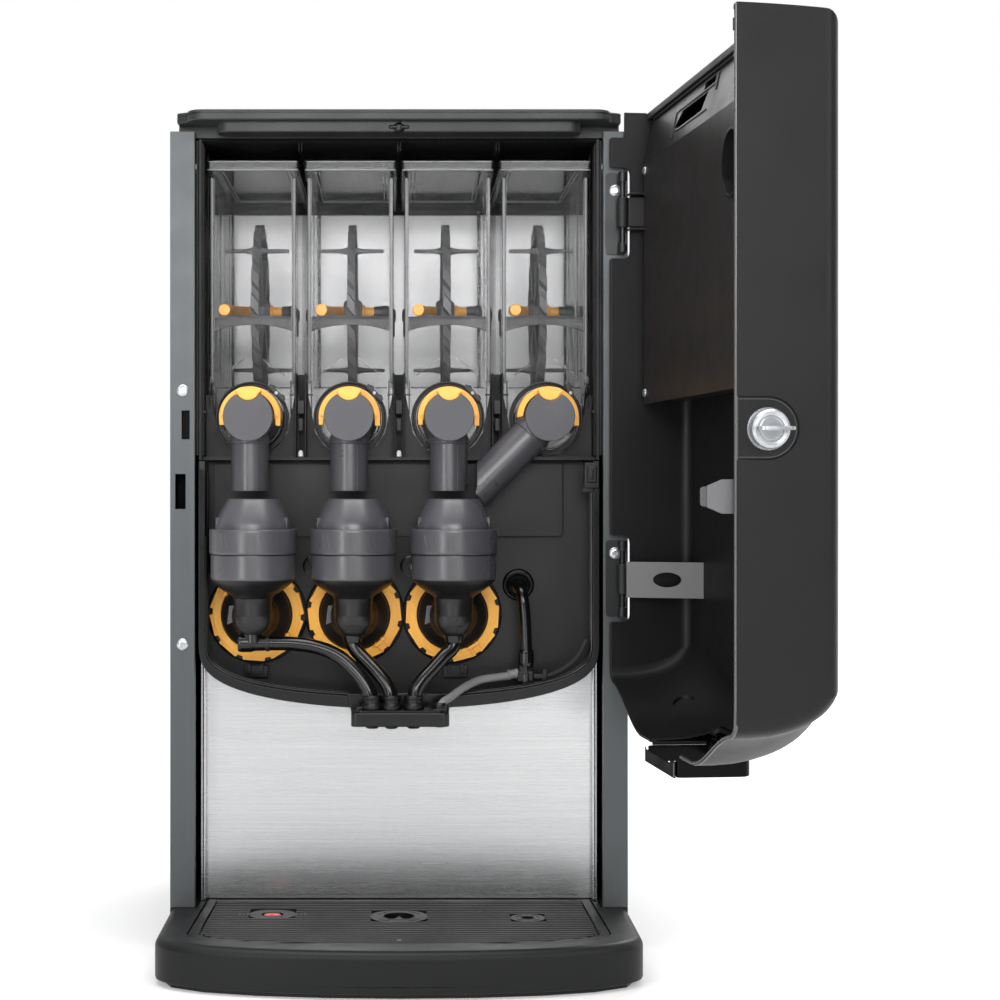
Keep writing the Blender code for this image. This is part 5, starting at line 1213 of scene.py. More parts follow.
for name, route in ROUTES.items():
    line = smooth_route(route, 2.6)
    hose = piece(f"hose_{name}_skin", tube(line, 6.15, 28), "hose", "cabinet", f"hose_{name}", 50)
    x, y = route[-1][0], route[-1][1]
    ferrule = lathe(rounded([(0, 198.4), (5.0, 198.4), (5.6, 199.6), (6.3, 201.0), (6.6, 214.0), (8.6, 214.6), (8.9, 216.0), (8.9, 218.6), (8.2, 219.6),
                             (7.4, 220.0), (7.4, 223.4), (8.0, 223.8), (8.0, 226.2), (7.0, 227.0), (0, 227.0)], 0.5, 2, False), (x, y, 0), (0, 0, 1), 48, closed=False)
    piece(f"hose_{name}_ferrule", ferrule, "fitting", "cabinet", (), 40)
    if name != "left":
        sx, sy = route[0][0], route[0][1]
        cuff = lathe(rounded([(0, 280.0), (8.2, 280.0), (8.6, 277.0), (7.6, 270.6), (0, 270.6)], 0.8, 3, False), (sx, sy, 0), (0, 0, 1), 44, closed=False)
        piece(f"hose_{name}_cuff", cuff, "hose", "cabinet", (), 40)
    else:
        cuff = lathe(rounded([(0, -7.6), (7.4, -7.6), (8.0, -5.0), (8.0, 4.0), (7.0, 6.6), (6.8, 15.0), (0, 15.0)], 0.9, 3, False), (-131.6, -17, 270.4), (1, 0, 0), 44, closed=False)
        joint = lathe(rounded([(0, 0.0), (8.6, 0.0), (8.6, 9.0), (7.6, 11.0), (0, 11.0)], 0.8, 3, False), (-126.5, -17, 270.0), (0, 0, 1), 44, closed=False)
        clamp = lathe(rounded([(6.0, -1.7), (6.9, -1.7), (6.9, 1.7), (6.0, 1.7)], 0.3, 2), (-113.5, -18.6, 270.1), (1, -0.06, 0), 44)
        piece("hose_left_cuff", merged(cuff, joint), "hose", "cabinet", (), 40)
        piece("hose_left_clamp", clamp, "leaf", "cabinet", (), 40)

water = [(104.4, 16.5, 241.0), (97, 14.5, 239.0), (86, 11, 238.0), (70, 4, 236.0), (56, -8, 230.5), (45, -19, 224.0),
         (38.4, -26.6, 220.5), (35.2, -30, 216.0), (35.0, -30, 207.0), (35.0, -30, 199.0)]
line = smooth_route(water, 2.4)
piece("water_hose_skin", tube(line, 3.45, 24), "silicone", "cabinet", "water_hose", 50)
plug = merged(
    lathe(rounded([(0, 213.0), (5.6, 213.0), (5.6, 218.4), (4.4, 220.0), (0, 220.0)], 0.6, 3, False), (35.0, -30.0, 0), (0, 0, 1), 40, closed=False),
    box((29.0, -36.4, 212.4), (41.0, -24.0, 215.4), 1.0, 3))
piece("water_hose_seat", plug, "fitting", "cabinet")

pipe_route = [(106.5, 43.6, 318), (106.5, 37, 318), (106.5, 28, 317.5), (107.5, 20, 313.5), (109.5, 16, 305), (111, 15.5, 290), (112, 15.5, 268), (112, 16, 248)]
piece("hot_pipe_skin", merged(
    tube(smooth_route(pipe_route, 2.4), 5.2, 28),
    lathe(rounded([(0, 0.0), (6.6, 0.0), (6.9, 3.0), (6.9, 12.0), (6.2, 15.0), (0, 15.0)], 0.8, 3, False), (112, 16.1, 262.0), (0, 0, -1), 40, closed=False),
    cylinder((112, 16.3, 248.5), (112, 16.3, 241.0), 7.2, 6, bevel=0.6),
    lathe(rounded([(0, 0.0), (6.2, 0.0), (6.2, 7.6), (0, 7.6)], 0.6, 2, False), (112, 16.2, 241.4), (0, 0, -1), 40, closed=False)),
    "hose", "cabinet", "hot_water_pipe", 40)
knee = lathe(rounded([(0, 0), (8.6, 0), (8.8, 4.0), (7.4, 11.0), (5.4, 14.0), (0, 14.0)], 0.8, 3, False), (106.5, 37.5, 318.0), (0, -1, -0.25), 44, closed=False)
piece("hot_pipe_boot", knee, "hose", "cabinet", (), 40)
elbow_body = merged(
    box((104.2, 10.4, 233.4), (118.6, 20.6, 243.0), 1.4, 3), box((116.6, 12.0, 236.0), (130.6, 18.0, 240.6), 1.0, 3),
    box((126.0, 10.6, 232.8), (130.4, 19.4, 245.0), 0.8, 2), box((108.8, 11.6, 222.6), (119.6, 18.4, 235.0), 0.9, 2),
    lathe(rounded([(0, 0), (3.0, 0), (3.0, 1.4), (0, 1.6)], 0.3, 2, False), (114.2, 10.6, 228.0), (0, -1, 0), 28, closed=False))
piece("water_elbow", elbow_body, "fitting", "cabinet")
barb = lathe(rounded([(2.6, 0), (4.6, 0), (4.6, 2.2), (4.0, 2.6), (4.0, 7.0), (4.5, 7.4), (4.5, 9.0), (2.6, 9.0)], 0.3, 2), (104.6, 15.9, 241.0), (-1, -0.2, -0.15), 36)
piece("water_barb", barb, "silicone", "cabinet", (), 40)
arm = sweep_section([Vector(p) for p in smooth_route([(129.5, 14.0, 239.0), (139, 12.0, 243.0), (150, 9.0, 250.4), (158, 6.0, 260.0), (163.5, 4.0, 272.0)], 3.0)],
                    [(-1.5, -1.8), (1.5, -1.8), (1.5, 1.8), (-1.5, 1.8)])
piece("water_arm", arm, "fitting", "cabinet")

# outlet block under the rim: chamfered housing with three wells
face = [(-45.5, 226.0), (-41.0, 206.4), (-36.0, 201.4), (38.0, 201.4), (43.0, 206.4), (46.0, 226.0)]
housing = plate([face], -8.0, 1.8, "Y", 1.2, 3, 30)
deck = plate([rounded([(-41, -46), (43, -46), (43, 1.0), (-41, 1.0)], 6.0, 6)], 201.0, 213.0, "Z", 1.2, 3, 40)
for x, y in ((-23.0, -32.0), (-6.4, -33.0), (12.5, -32.0)):
    cut(deck, cylinder((x, y, 190), (x, y, 225), 6.9))
cut(deck, cylinder((35.0, -30, 190), (35.0, -30, 225), 4.4))
lip = plate([rounded([(-36, -42.5), (38, -42.5), (38, -2.0), (-36, -2.0)], 5.0, 6), rounded([(-33.5, -40), (35.5, -40), (35.5, -4.5), (-33.5, -4.5)], 4.0, 6)], 212.6, 214.6, "Z", 0.4, 2, 40)
tongue = box((-33.6, -5.6, 198.6), (35.6, 1.0, 205.0), 1.0, 3)
ears = [box((-34.0, -46.6, 203.4), (-30.4, -45.2, 212.0), 0.4, 2), box((26.6, -46.6, 203.4), (30.4, -45.2, 212.0), 0.4, 2),
        box((21.0, -38.0, 212.6), (27.0, -30.0, 216.0), 0.8, 2), box((-36.0, -36.0, 212.6), (-31.0, -28.0, 217.0), 0.8, 2)]
piece("outlet_block_skin", merged(housing, deck, lip, tongue, *ears), "rim", "cabinet", "outlet_block", 35)


# ------------------------------------------------------------------------------------------------
# Door, modelled closed and swung open by piece(..., door=True)
# ------------------------------------------------------------------------------------------------
DOOR_TOP, DOOR_LOW, DOOR_CHIN, DOOR_DEEP, DOOR_RIM, DOOR_BOW = 731.0, 236.0, 202.6, 72.0, -2.94, 12.0


def door_bottom(x):
    a = abs(x)
    if a <= 80.0:
        return DOOR_CHIN
    t = (a - 80.0) / 120.0
    low = DOOR_CHIN + (DOOR_LOW - DOOR_CHIN) * (0.5 - 0.5 * math.cos(math.pi * min(1.0, t))) ** 0.9
    near = max(0.0, 14.0 - (200.0 - a))
    return low + 14.0 - math.sqrt(14.0 ** 2 - near ** 2)


def door_shell_shape():
    xs = [-200.0, -199.6, -198.6, -197.0, -194.6, -190.0, -185.0]
    xs += [-180.0 + 10.0 * i for i in range(37)] + [185.0, 190.0, 194.6, 197.0, 198.6, 199.6, 200.0]
    depths = [0.0, 2.0, 12.0, 26.0, 38.0] + [38.0 + 34.0 * math.sin(math.radians(a)) for a in (12, 22, 32, 42, 50, 58, 66, 73, 80, 86, 90)]
    corner, roll = 34.0, 10.0
    rows = []
    for d in depths:
        past = max(0.0, d - 12.0) / 60.0
        up = corner * (1.0 - math.sqrt(max(0.0, 1.0 - past ** 2)))
        edge = max(0.0, d - (DOOR_DEEP - roll))
        side = roll - math.sqrt(max(0.0, roll ** 2 - edge ** 2))
        drop = 3.4 * (d / DOOR_DEEP) ** 1.6
        top, bottom = [], []
        for x in xs:
            xx = x * (200.0 - side) / 200.0
            y = DOOR_RIM - d - DOOR_BOW * (1 - (xx / 200.0) ** 2) * (d / DOOR_DEEP) ** 2
            top.append((xx, y, DOOR_TOP - drop - side))
            bottom.append((xx, y, door_bottom(xx) + up))
        rows.append((top, bottom))
    levels = [i / 22.0 for i in range(23)]
    bm = bmesh.new()
    loops = []
    n = len(xs)
    for top, bottom in rows:
        left = [Vector(bottom[0]).lerp(Vector(top[0]), t) for t in levels[1:-1]]
        right = [Vector(top[-1]).lerp(Vector(bottom[-1]), t) for t in levels[1:-1]]
        loop = [Vector(p) for p in top] + right + [Vector(p) for p in reversed(bottom)] + left
        loops.append([bm.verts.new(p * MM) for p in loop])
    count = len(loops[0])
    for a, b in zip(loops, loops[1:]):
        for k in range(count):
            m = (k + 1) % count
            bm.faces.new((a[k], a[m], b[m], b[k]))
    last = loops[-1]
    m = len(levels) - 2
    top_v, right_v = last[:n], last[n:n + m]
    bottom_v, left_v = list(reversed(last[n + m:n + m + n])), last[n + m + n:]
    grid = [bottom_v]
    for j in range(m):
        row = [left_v[j]]
        rv = right_v[m - 1 - j]
        t = levels[j + 1]
        for i in range(1, n - 1):
            row.append(bm.verts.new(bottom_v[i].co.lerp(top_v[i].co, t)))
        row.append(rv)
        grid.append(row)
    grid.append(top_v)
    for a, b in zip(grid, grid[1:]):
        for i in range(n - 1):
            bm.faces.new((a[i], a[i + 1], b[i + 1], b[i]))
    bmesh.ops.recalc_face_normals(bm, faces=bm.faces)
    skin = from_bm(bm)
    solid = skin.modifiers.new("Solidify", "SOLIDIFY")
    solid.thickness = 3.0 * MM
    solid.offset = -1.0
    solid.use_even_offset = True
    replace_mesh(skin, evaluated_mesh(skin))
    tidy(skin.data, turn_out=True)
    return skin


shell = door_shell_shape()
cut(shell, box((-196.8, -35, 709), (196.8, 5, 740)))
cut(shell, box((195.0, -14.5, 709), (210, 5, 740)))
cut(shell, plate([rounded([(-47.4, -58.4), (47.4, -58.4), (47.4, 5), (-47.4, 5)], 8.0, 6)], 190, 216))
cut(shell, cylinder((-205, -25, 444.7), (-190, -25, 444.7), 10.6, 40))
cut(shell, cylinder((130, -50, 200), (130, -50, 240), 9.0, 40))
for z0, z1 in ((604.0, 683.0), (288.0, 363.0)):
    notch = rounded([(10, z0), (10, z1), (-19.4, z1), (-19.4, z0)], 7.0, 6)
    cut(shell, plate([notch], 180.0, 206.0, "X"))
# the lock's shallow D-shaped pocket in the free edge wall
pocket = [(2, 466.7), (2, 423.7)] + [(-25.0 + 21.5 * math.cos(math.radians(a)), 445.2 + 21.5 * math.sin(math.radians(a))) for a in range(-90, -271, -10)]
recess = plate([pocket], -202.5, -198.7, "X")
cut(shell, recess)
piece("door_skin", shell, "door", "door", "door_shell", 32, door=True)
step = [Vector((-199.3, y, z)) for y, z in pocket[2:]]
step = [Vector((-199.3, -3.4, 423.7))] + step + [Vector((-199.3, -3.4, 466.7))]
piece("lock_pocket_edge", sweep_section(step, [(-0.75, -0.6), (-0.3, 0.0), (0.3, 0.35), (0.75, -0.6)], up=(-1, 0, 0)), "door", "door", door=True)
# a line in the light cabinet paint round the inside of the pocket: painted highlight on its lit edge
pocket_highlight_path = [Vector((-198.75, -3.6, 425.6))] + [Vector((-198.75, -25.0 + 19.6 * math.cos(math.radians(a)), 445.2 + 19.6 * math.sin(math.radians(a)))) for a in range(-90, -271, -10)] + [Vector((-198.75, -3.6, 464.8))]
piece("lock_pocket_painted_highlight", sweep_section(pocket_highlight_path, [(-0.35, -0.2), (0.35, -0.2), (0.2, 0.3), (-0.2, 0.3)], up=(-1, 0, 0)), "frame", "door", door=True)

# rim bead: the rolled edge of the shell; its left run, on the free edge, is lighter than the shell, a painted highlight
def rim_run(points, name):
    piece(name, tube(points, 1.52, 14), "bead" if name == "door_rim_left_painted_highlight" else "door", "door", (), 60, door=True)


left_side = [Vector((-198.5, -3.1, 730.0 - 8.0 * i)) for i in range(int((730 - 256) / 8) + 1)]
bottom_run = [Vector((x, -3.1, door_bottom(x) + 1.5)) for x in [-197.8, -196.6, -194.8] + [-192.0 + 4.0 * i for i in range(37)] if x < -48.4]
rim_run(left_side + bottom_run + [Vector((-48.6, -3.1, DOOR_CHIN + 1.5))], "door_rim_left_painted_highlight")
right_low = [Vector((198.5, -3.1, 287.0 - 8.0 * i)) for i in range(4)] + [Vector((198.4, -3.1, 256.0))]
right_low += [Vector((-p.x, p.y, p.z)) for p in bottom_run] + [Vector((48.6, -3.1, DOOR_CHIN + 1.5))]
rim_run(right_low, "door_rim_right_low")
rim_run([Vector((198.5, -3.1, 603.0 - 8.0 * i)) for i in range(30)] + [Vector((198.5, -3.1, 364.0))], "door_rim_right_mid")
rim_run([Vector((198.5, -3.1, 708.0 - 6.0 * i)) for i in range(5)], "door_rim_right_top")
clips = merged(box((-199.6, -3.6, 712.0), (-197.2, -0.9, 720.5), 0.5, 2), box((-199.6, -3.6, 726.0), (-197.2, -1.4, 729.6), 0.5, 2))
piece("door_rim_clips", clips, "door_in", "door", door=True)

# rear edge of the top wall: a thick rolled lip over the control box
lip_path = [Vector((x, -35.6, 727.6)) for x in range(-196, 197, 8)]
piece("door_top_lip", sweep_section(lip_path, rounded([(-1.6, -3.2), (1.9, -3.2), (1.9, 2.6), (-1.6, 2.6)], 0.9, 3), up=(0, 0, 1)), "door_in", "door", door=True)
seal_path = [Vector((x, -37.0, 722.6)) for x in range(-188, 187, 8)]
hinge_lip = [Vector((198.2, -34.0 + 2.0 * i, 729.4)) for i in range(10)]
piece("door_hinge_wall_lip", tube(hinge_lip, 1.6, 14), "door", "door", (), 60, door=True)
# a black disc in the drain hole: painted shade, so the hole reads dark
drain = lathe(rounded([(0, -0.6), (10.4, -0.6), (10.4, 0.4), (0, 0.2)], 0.2, 2, False), (130, -50, 222.4), (-0.4, 0.354, 1.0), 40, closed=False)
piece("door_drain_painted_shade", drain, "black", "door", (), 40, door=True)
piece("door_top_seal", tube(seal_path, 1.5, 12), "black", "door", (), 60, door=True)

# ---- control box on the inside -----------------------------------------------------------------------
front = plate([rounded([(-190, 480), (187, 480), (187, 684.4), (-190, 684.4)], 1.5, 3)], -31.2, -29.2, "Y")
cut(front, cylinder((-93, -40, 641), (-93, -20, 641), 24.0, 64))
bevelled(front, 0.5, 2, 40)
hood = plate([[(-31.2, 683.0), (-29.2, 684.2), (-37.4, 722.0), (-66, 726.4), (-66, 724.4), (-39.0, 720.2)]], -190, 187, "X")
# pocket and slot for the top cover's catch
pocket_cut = plate([[(90, 698.5), (72, 709.5), (-8, 709.5), (4, 696.5), (76, 696.5)]], -60, -20, "Y")
slot_cut = plate([rounded([(-25, 710.8), (8, 710.8), (8, 719.0), (-25, 719.0)], 1.2, 2)], -60, -20, "Y")
cut(hood, pocket_cut, slot_cut)
shelf_low = box((-190, -66, 480), (187, -30, 482), 0.4, 2)
shelf_lip = box((-190, -31.0, 476.8), (187, -29.4, 481.4), 0.5, 2)
side_fold = box((185.4, -60.0, 481.0), (187.0, -30.4, 684.0), 0.4, 2)
piece("control_box_skin", merged(front, shelf_low, shelf_lip, side_fold), "control", "door", "control_box_cover", 35, door=True)
piece("control_box_hood", hood, "door", "door", (), 35, door=True)


def on_hood(x0, x1, z0, z1, height, depth=0.8):
    """A thin raised slab that lies on the sloped hood between the heights z0 and z1."""
    def y_at(z):
        return -29.2 - (z - 684.2) * 8.2 / 37.8
    pts = [(y_at(z0) - depth, z0), (y_at(z0) + height, z0 + 0.2), (y_at(z1) + height, z1 - 0.2), (y_at(z1) - depth, z1)]
    return plate([pts], x0, x1, "X", 0.25, 2)


frame_parts = [on_hood(92.0, 97.0, 690.0, 712.0, 0.7), on_hood(-31.0, 92.0, 711.0, 713.0, 0.7), on_hood(-34.0, -30.0, 706.0, 720.0, 0.7),
               on_hood(-12.0, 82.0, 694.0, 695.6, 0.7)]
piece("hood_frame", merged(*frame_parts), "door_in", "door", door=True)
backs = [box((-12, -52, 694.4), (94, -50.6, 711.8), 0.3, 1), box((-28, -54, 708.6), (12, -52.6, 721.6), 0.3, 1),
         box((-12, -51, 694.0), (94, -33.2, 694.9), 0.3, 1)]
piece("hood_pocket_floor", merged(*backs), "black", "door", door=True)
well = lathe(rounded([(23.9, 0.0), (25.4, 0.0), (25.4, 1.2), (24.0, 1.4), (23.4, 1.2), (22.6, -16.0), (0, -16.0), (0, -17.4), (24.0, -17.4), (23.9, -2.0)], 0.4, 2), (-93, -29.3, 641), (0, 1, 0), 72)
piece("control_box_well", well, "black", "door", door=True)
for k, (x, z) in enumerate(((182.0, 678.0), (182.0, 486.5), (-184.0, 678.0), (-184.0, 486.5)), 1):
    head = lathe(rounded([(0, 0), (4.0, 0), (3.7, 1.1), (2.6, 1.8), (0, 2.0)], 0.5, 3, False), (x, -29.2, z), (0, 1, 0), 32, closed=False)
    cut(head, plate([circle(x, z, 1.5, 6)], -28.4, -25.0, "Y"))
    piece(f"control_box_screw_{k}", head, "steel", "door", door=True)

# ---- hinge knuckles, arms ------------------------------------------------------------------------------
for tag, z0, z1 in (("upper", 604.0, 683.0), ("lower", 288.0, 363.0)):
    zm = (z0 + z1) / 2
    x, y = HINGE
    knuckle = lathe(rounded([(3.15, zm - 12.9), (4.7, zm - 12.9), (4.7, zm + 12.9), (3.15, zm + 12.9)], 0.5, 3), (x, y, 0), (0, 0, 1), 40)
    web = box((190.0, -37.0, zm - 12.8), (197.6, -16.4, zm + 12.8), 0.8, 2)
    piece(f"hinge_knuckle_{tag}", merged(knuckle, web), "door_in", "door", (), 35, door=True)
flanges = merged(box((184.0, -42.0, 657.9), (198.0, -16.0, 659.5), 0.4, 2), box((184.0, -42.0, 627.6), (198.0, -16.0, 629.2), 0.4, 2))
piece("hinge_arm_upper", flanges, "leaf", "door", door=True)
arm_plate = plate([[(190.4, -14.6), (188.8, -14.2), (163.6, -76.0), (165.2, -76.8)]], 309.6, 340.6, "Z", 0.3, 2)
arm_hole = plate([[(-47.0 + 11.4 * math.cos(math.radians(a)), 325.3 + 6.4 * math.sin(math.radians(a))) for a in range(0, 360, 8)]], 140, 215, "X")
cut(arm_plate, arm_hole)
piece("hinge_arm_lower", arm_plate, "stiffener", "door", (), 35, door=True)
arm_back = plate([[(-47.0 + 12.6 * math.cos(math.radians(a)), 325.3 + 7.6 * math.sin(math.radians(a))) for a in range(0, 360, 8)]], 180.5, 181.5, "X", 0.3, 1)
piece("hinge_arm_lower_shade", arm_back, "black", "door", door=True)

# ---- latch tab of the free edge: a bent tongue ------------------------------------------------------------
tab = plate([[(-10, 387.6), (-10, 410.8), (5.0, 410.8), (15.4, 406.4), (15.4, 392.0), (5.0, 387.6)]], -193.0, -190.4, "X", 0.5, 2, 40)
tip_shape = plate([rounded([(14.8, 392.0), (14.8, 406.4), (19.8, 405.4), (19.8, 393.0)], 2.2, 4)], -192.2, -189.6, "X", 0.5, 2, 40)
root = box((-198.0, -30, 388.5), (-190.4, -6, 410), 0.8, 2)
piece("latch_tab", merged(tab, root), "wheel", "door", door=True)
piece("latch_tab_tip", tip_shape, "mixer", "door", door=True)

# collar round the outlet, between the curved bottom wall and the spout cover
for side, tag in ((-1, "near"), (1, "far")):
    web = [(-7.0, 203.2), (-60.2, 203.2), (-60.2, 215.4), (-52.0, 210.6), (-44.0, 207.8), (-34.0, 205.9), (-24.0, 204.8), (-7.0, 204.4)]
    a, b = sorted((side * 47.3, side * 48.7))
    piece(f"door_outlet_web_{tag}", plate([web], a, b, "X", 0.2, 1), "chin", "door", (), 30, door=True)
front_web = box((-47.2, -60.2, 206.4), (47.2, -58.7, 215.4), 0.3, 1)
piece("door_outlet_web_front", front_web, "chin", "door", (), 30, door=True)

# ---- spout cover -------------------------------------------------------------------------------------------
outer = rect(-47, -58, 47, 3, 9, 8)
chin = plate([outer], 188.0, 206.0, "Z", 1.4, 4, 50)
cut(chin, plate([rect(-44.4, -55.4, 44.4, 16, 7, 6)], 175.0, 212.0))
cut(chin, box((-60, -47.4, 200.6), (60, 14, 216)))
cut(chin, box((-60, 2.2, 180), (60, 12, 216)))
piece("spout_cover_skin", chin, "chin", "door", "spout_cover", 35, door=True)
rear = merged(box((-46.6, 0.8, 188.2), (46.6, 2.1, 197.6), 0.4, 2), box((-46.6, 0.5, 188.0), (46.6, 2.4, 189.2), 0.4, 2),
              box((-46.8, 0.7, 190.0), (-34.0, 2.2, 200.4), 0.4, 2))
piece("spout_cover_rear_wall", rear, "deep", "door", (), 35, door=True)
# thin light tubes on the cover's rear corners: painted highlights
for x, tag in ((-46.3, "near"), (46.3, "far")):
    piece(f"spout_cover_edge_painted_highlight_{tag}", tube([Vector((x, 2.0, 188.6 + i)) for i in range(12)], 0.6, 10), "bead", "door", (), 60, door=True)
for side, tag in ((-1, "near"), (1, "far")):
    run = [Vector((side * 48.0, -4.0 - 4.6 * i, 202.0)) for i in range(11)] + [Vector((side * (40.2 + 8.0 * math.cos(math.radians(a))), -51.2 - 8.0 * math.sin(math.radians(a)), 202.0 + 0.04 * a)) for a in range(10, 91, 16)]
    piece(f"door_outlet_rim_{tag}", tube(run, 1.5, 12), "door", "door", (), 60, door=True)

# ---- lock --------------------------------------------------------------------------------------------------
axis = (-200.0, -25.0, 444.7)
head = lathe(rounded([(0, 6.9), (7.6, 6.9), (7.8, 6.2), (8.4, 6.2), (8.8, 7.3), (11.4, 7.9), (13.2, 6.4), (13.4, 2.0), (12.6, 0.6), (10.2, 0.5), (9.9, -16.0), (0, -16.0)], 0.45, 3, False),
             axis, (-1, 0, 0), 96, closed=False)
way = plate([rounded([(-25.0 - 4.6, 443.5), (-25.0 + 4.6, 443.5), (-25.0 + 4.6, 445.9), (-25.0 - 4.6, 445.9)], 0.5, 2)], -209.0, -204.5, "X")
cut(head, way)
ring_line = lathe(rounded([(10.2, 7.5), (10.7, 7.5), (10.7, 8.05), (10.2, 8.05)], 0.12, 2), axis, (-1, 0, 0), 96)
piece("lock_head", merged(head, ring_line), "chrome", "lock", "lock_cylinder", 30, door=True)
washer = lathe(rounded([(10.8, 0.0), (14.6, 0.0), (14.4, 0.55), (10.8, 0.55)], 0.2, 2), (-198.8, -25.0, 444.7), (-1, 0, 0), 72)
piece("lock_washer", washer, "steel", "lock", (), 35, door=True)
key_outline = [(-205.0, -21.6), (-209.6, -21.6), (-211.0, -18.0), (-212.6, -13.6), (-216.0, -12.0), (-221.0, -12.6), (-223.6, -16.0), (-224.0, -25.0), (-223.6, -34.0),
               (-221.0, -37.4), (-216.0, -38.0), (-212.6, -36.4), (-211.0, -32.0), (-209.6, -28.4), (-205.0, -28.4)]
key = plate([rounded(key_outline, 1.6, 3), circle(-218.8, -25.0, 2.6, 28)], 443.5, 445.9, "Z", 0.5, 3, 40)
piece("lock_key", key, "chrome", "lock", (), 35, door=True)
cam_shape = [(-12, 31), (-4, 31), (-4, 10), (6, 5), (7, -7), (-6, -7), (-12, 2)]
cam = plate([rounded([(-25.0 + u, 444.7 + v) for u, v in cam_shape], 1.5, 3)], -187.6, -184.8, "X", 0.4, 2, 40)
piece("lock_cam", cam, "steel", "lock", (), 35, door=True)


# ------------------------------------------------------------------------------------------------
# Drip tray, grille, float
# ------------------------------------------------------------------------------------------------
GRILLE_Z = 37.6
TRAY_SIDE_Y, TRAY_FRONT = -104.0, -168.0


def bow(side, corner_y, front, back, inset=0.0, steps=56):
    side, front, back = side - inset, front + inset, back - inset
    pts = [(-side, back), (-side, corner_y)]
    for i in range(1, steps):
        a = math.pi * i / steps
        pts.append((-side * math.cos(a), corner_y + (front - corner_y) * math.sin(a) ** 0.8))
    return pts + [(side, corner_y), (side, back)]


def grille_line(inset=0.0, steps=48):
    pts = [(-170 + inset, 36.4 - inset), (-174 + inset, TRAY_SIDE_Y + 8)]
    for i in range(1, steps):
        a = math.pi * i / steps
        pts.append((-(174 - inset) * math.cos(a), TRAY_SIDE_Y + 8 + (-144 + inset - TRAY_SIDE_Y - 8) * math.sin(a) ** 0.8))
    return pts + [(174 - inset, TRAY_SIDE_Y + 8), (170 - inset, 36.4 - inset)]


def stacked(levels):
    """Outlines of equal length at rising heights, joined into one closed skin."""
    bm = bmesh.new()
    loops = [[bm.verts.new(Vector((x, y, z)) * MM) for x, y in pts] for pts, z in levels]
    for a, b in zip(loops, loops[1:]):
        for k in range(len(a)):
            m = (k + 1) % len(a)
            bm.faces.new((a[k], a[m], b[m], b[k]))
    bm.faces.new(loops[0])
    bm.faces.new(loops[-1])
    bmesh.ops.recalc_face_normals(bm, faces=bm.faces)
    return from_bm(bm)


def tray_level(out):
    """The tray's outline, drawn in by out."""
    pts = []
    for x, y in bow(200.0, TRAY_SIDE_Y, TRAY_FRONT, -0.6):
        share = math.sqrt(max(0.0, (TRAY_SIDE_Y - y) / (TRAY_SIDE_Y - TRAY_FRONT)))
        pts.append((x * (200.0 - out) / 200.0, y + out * min(1.0, share)))
    return pts


steps = [(tray_level(1.6), 4.0), (tray_level(0.5), 4.6), (tray_level(0.0), 6.0), (tray_level(0.0), 30.6)]
for a in range(10, 91, 10):
    steps.append((tray_level(7.2 * (1 - math.cos(math.radians(a)))), 30.6 + 7.3 * math.sin(math.radians(a))))
tub = stacked(steps)
rear = box((-177.3, -20.0, 4.0), (177.3, 37.4, 37.9), 0.8, 2)
combine(tub, rear)
cut(tub, plate([grille_line(-0.8)], GRILLE_Z - 4.2, GRILLE_Z + 5))
cut(tub, plate([grille_line(4.0)], 7.0, GRILLE_Z + 5))
piece("tray_skin", tub, "tray", "tray", "drip_tray", 28)
# inner step of the rim: a second, lower ridge that frames the grille
ridge = [Vector((x, y, 37.75)) for x, y in grille_line(-3.4)]
piece("tray_ridge", sweep_section(ridge, [(-0.9, -0.5), (0.9, -0.5), (0.35, 0.2), (-0.35, 0.2)], up=(0, 0, 1)), "tray", "tray", (), 50)
seam = [Vector((x, y, 10.2)) for x, y in tray_level(0.05)]
piece("tray_foot_line", sweep_section(seam, [(-0.25, -0.3), (0.05, -0.3), (0.05, 0.3), (-0.25, 0.3)], up=(0, 0, 1)), "black", "tray", (), 50)

# grille: fine ribs over cross bars, toothed side strips, three ports
slab = plate([grille_line(0.4)], GRILLE_Z - 4.4, GRILLE_Z - 3.0)
ports = [cylinder((0, -32, 20), (0, -32, 50), 13.0, 64), cylinder((110, -38, 20), (110, -38, 50), 5.2, 40),
         plate([rect(-118.6, -30.6, -99.4, -17.4, 6.4, 6)], 20, 50)]


def half_width(y):
    """Half the grille's width at y, less its border."""
    if y > TRAY_SIDE_Y + 8:
        return 160.5
    t = min(0.999, max(0.0, (TRAY_SIDE_Y + 8 - y) / (144.0 + TRAY_SIDE_Y + 8)))
    return 174.0 * math.sqrt(max(0.0, 1 - (t ** 1.25) ** 2)) - 13.0


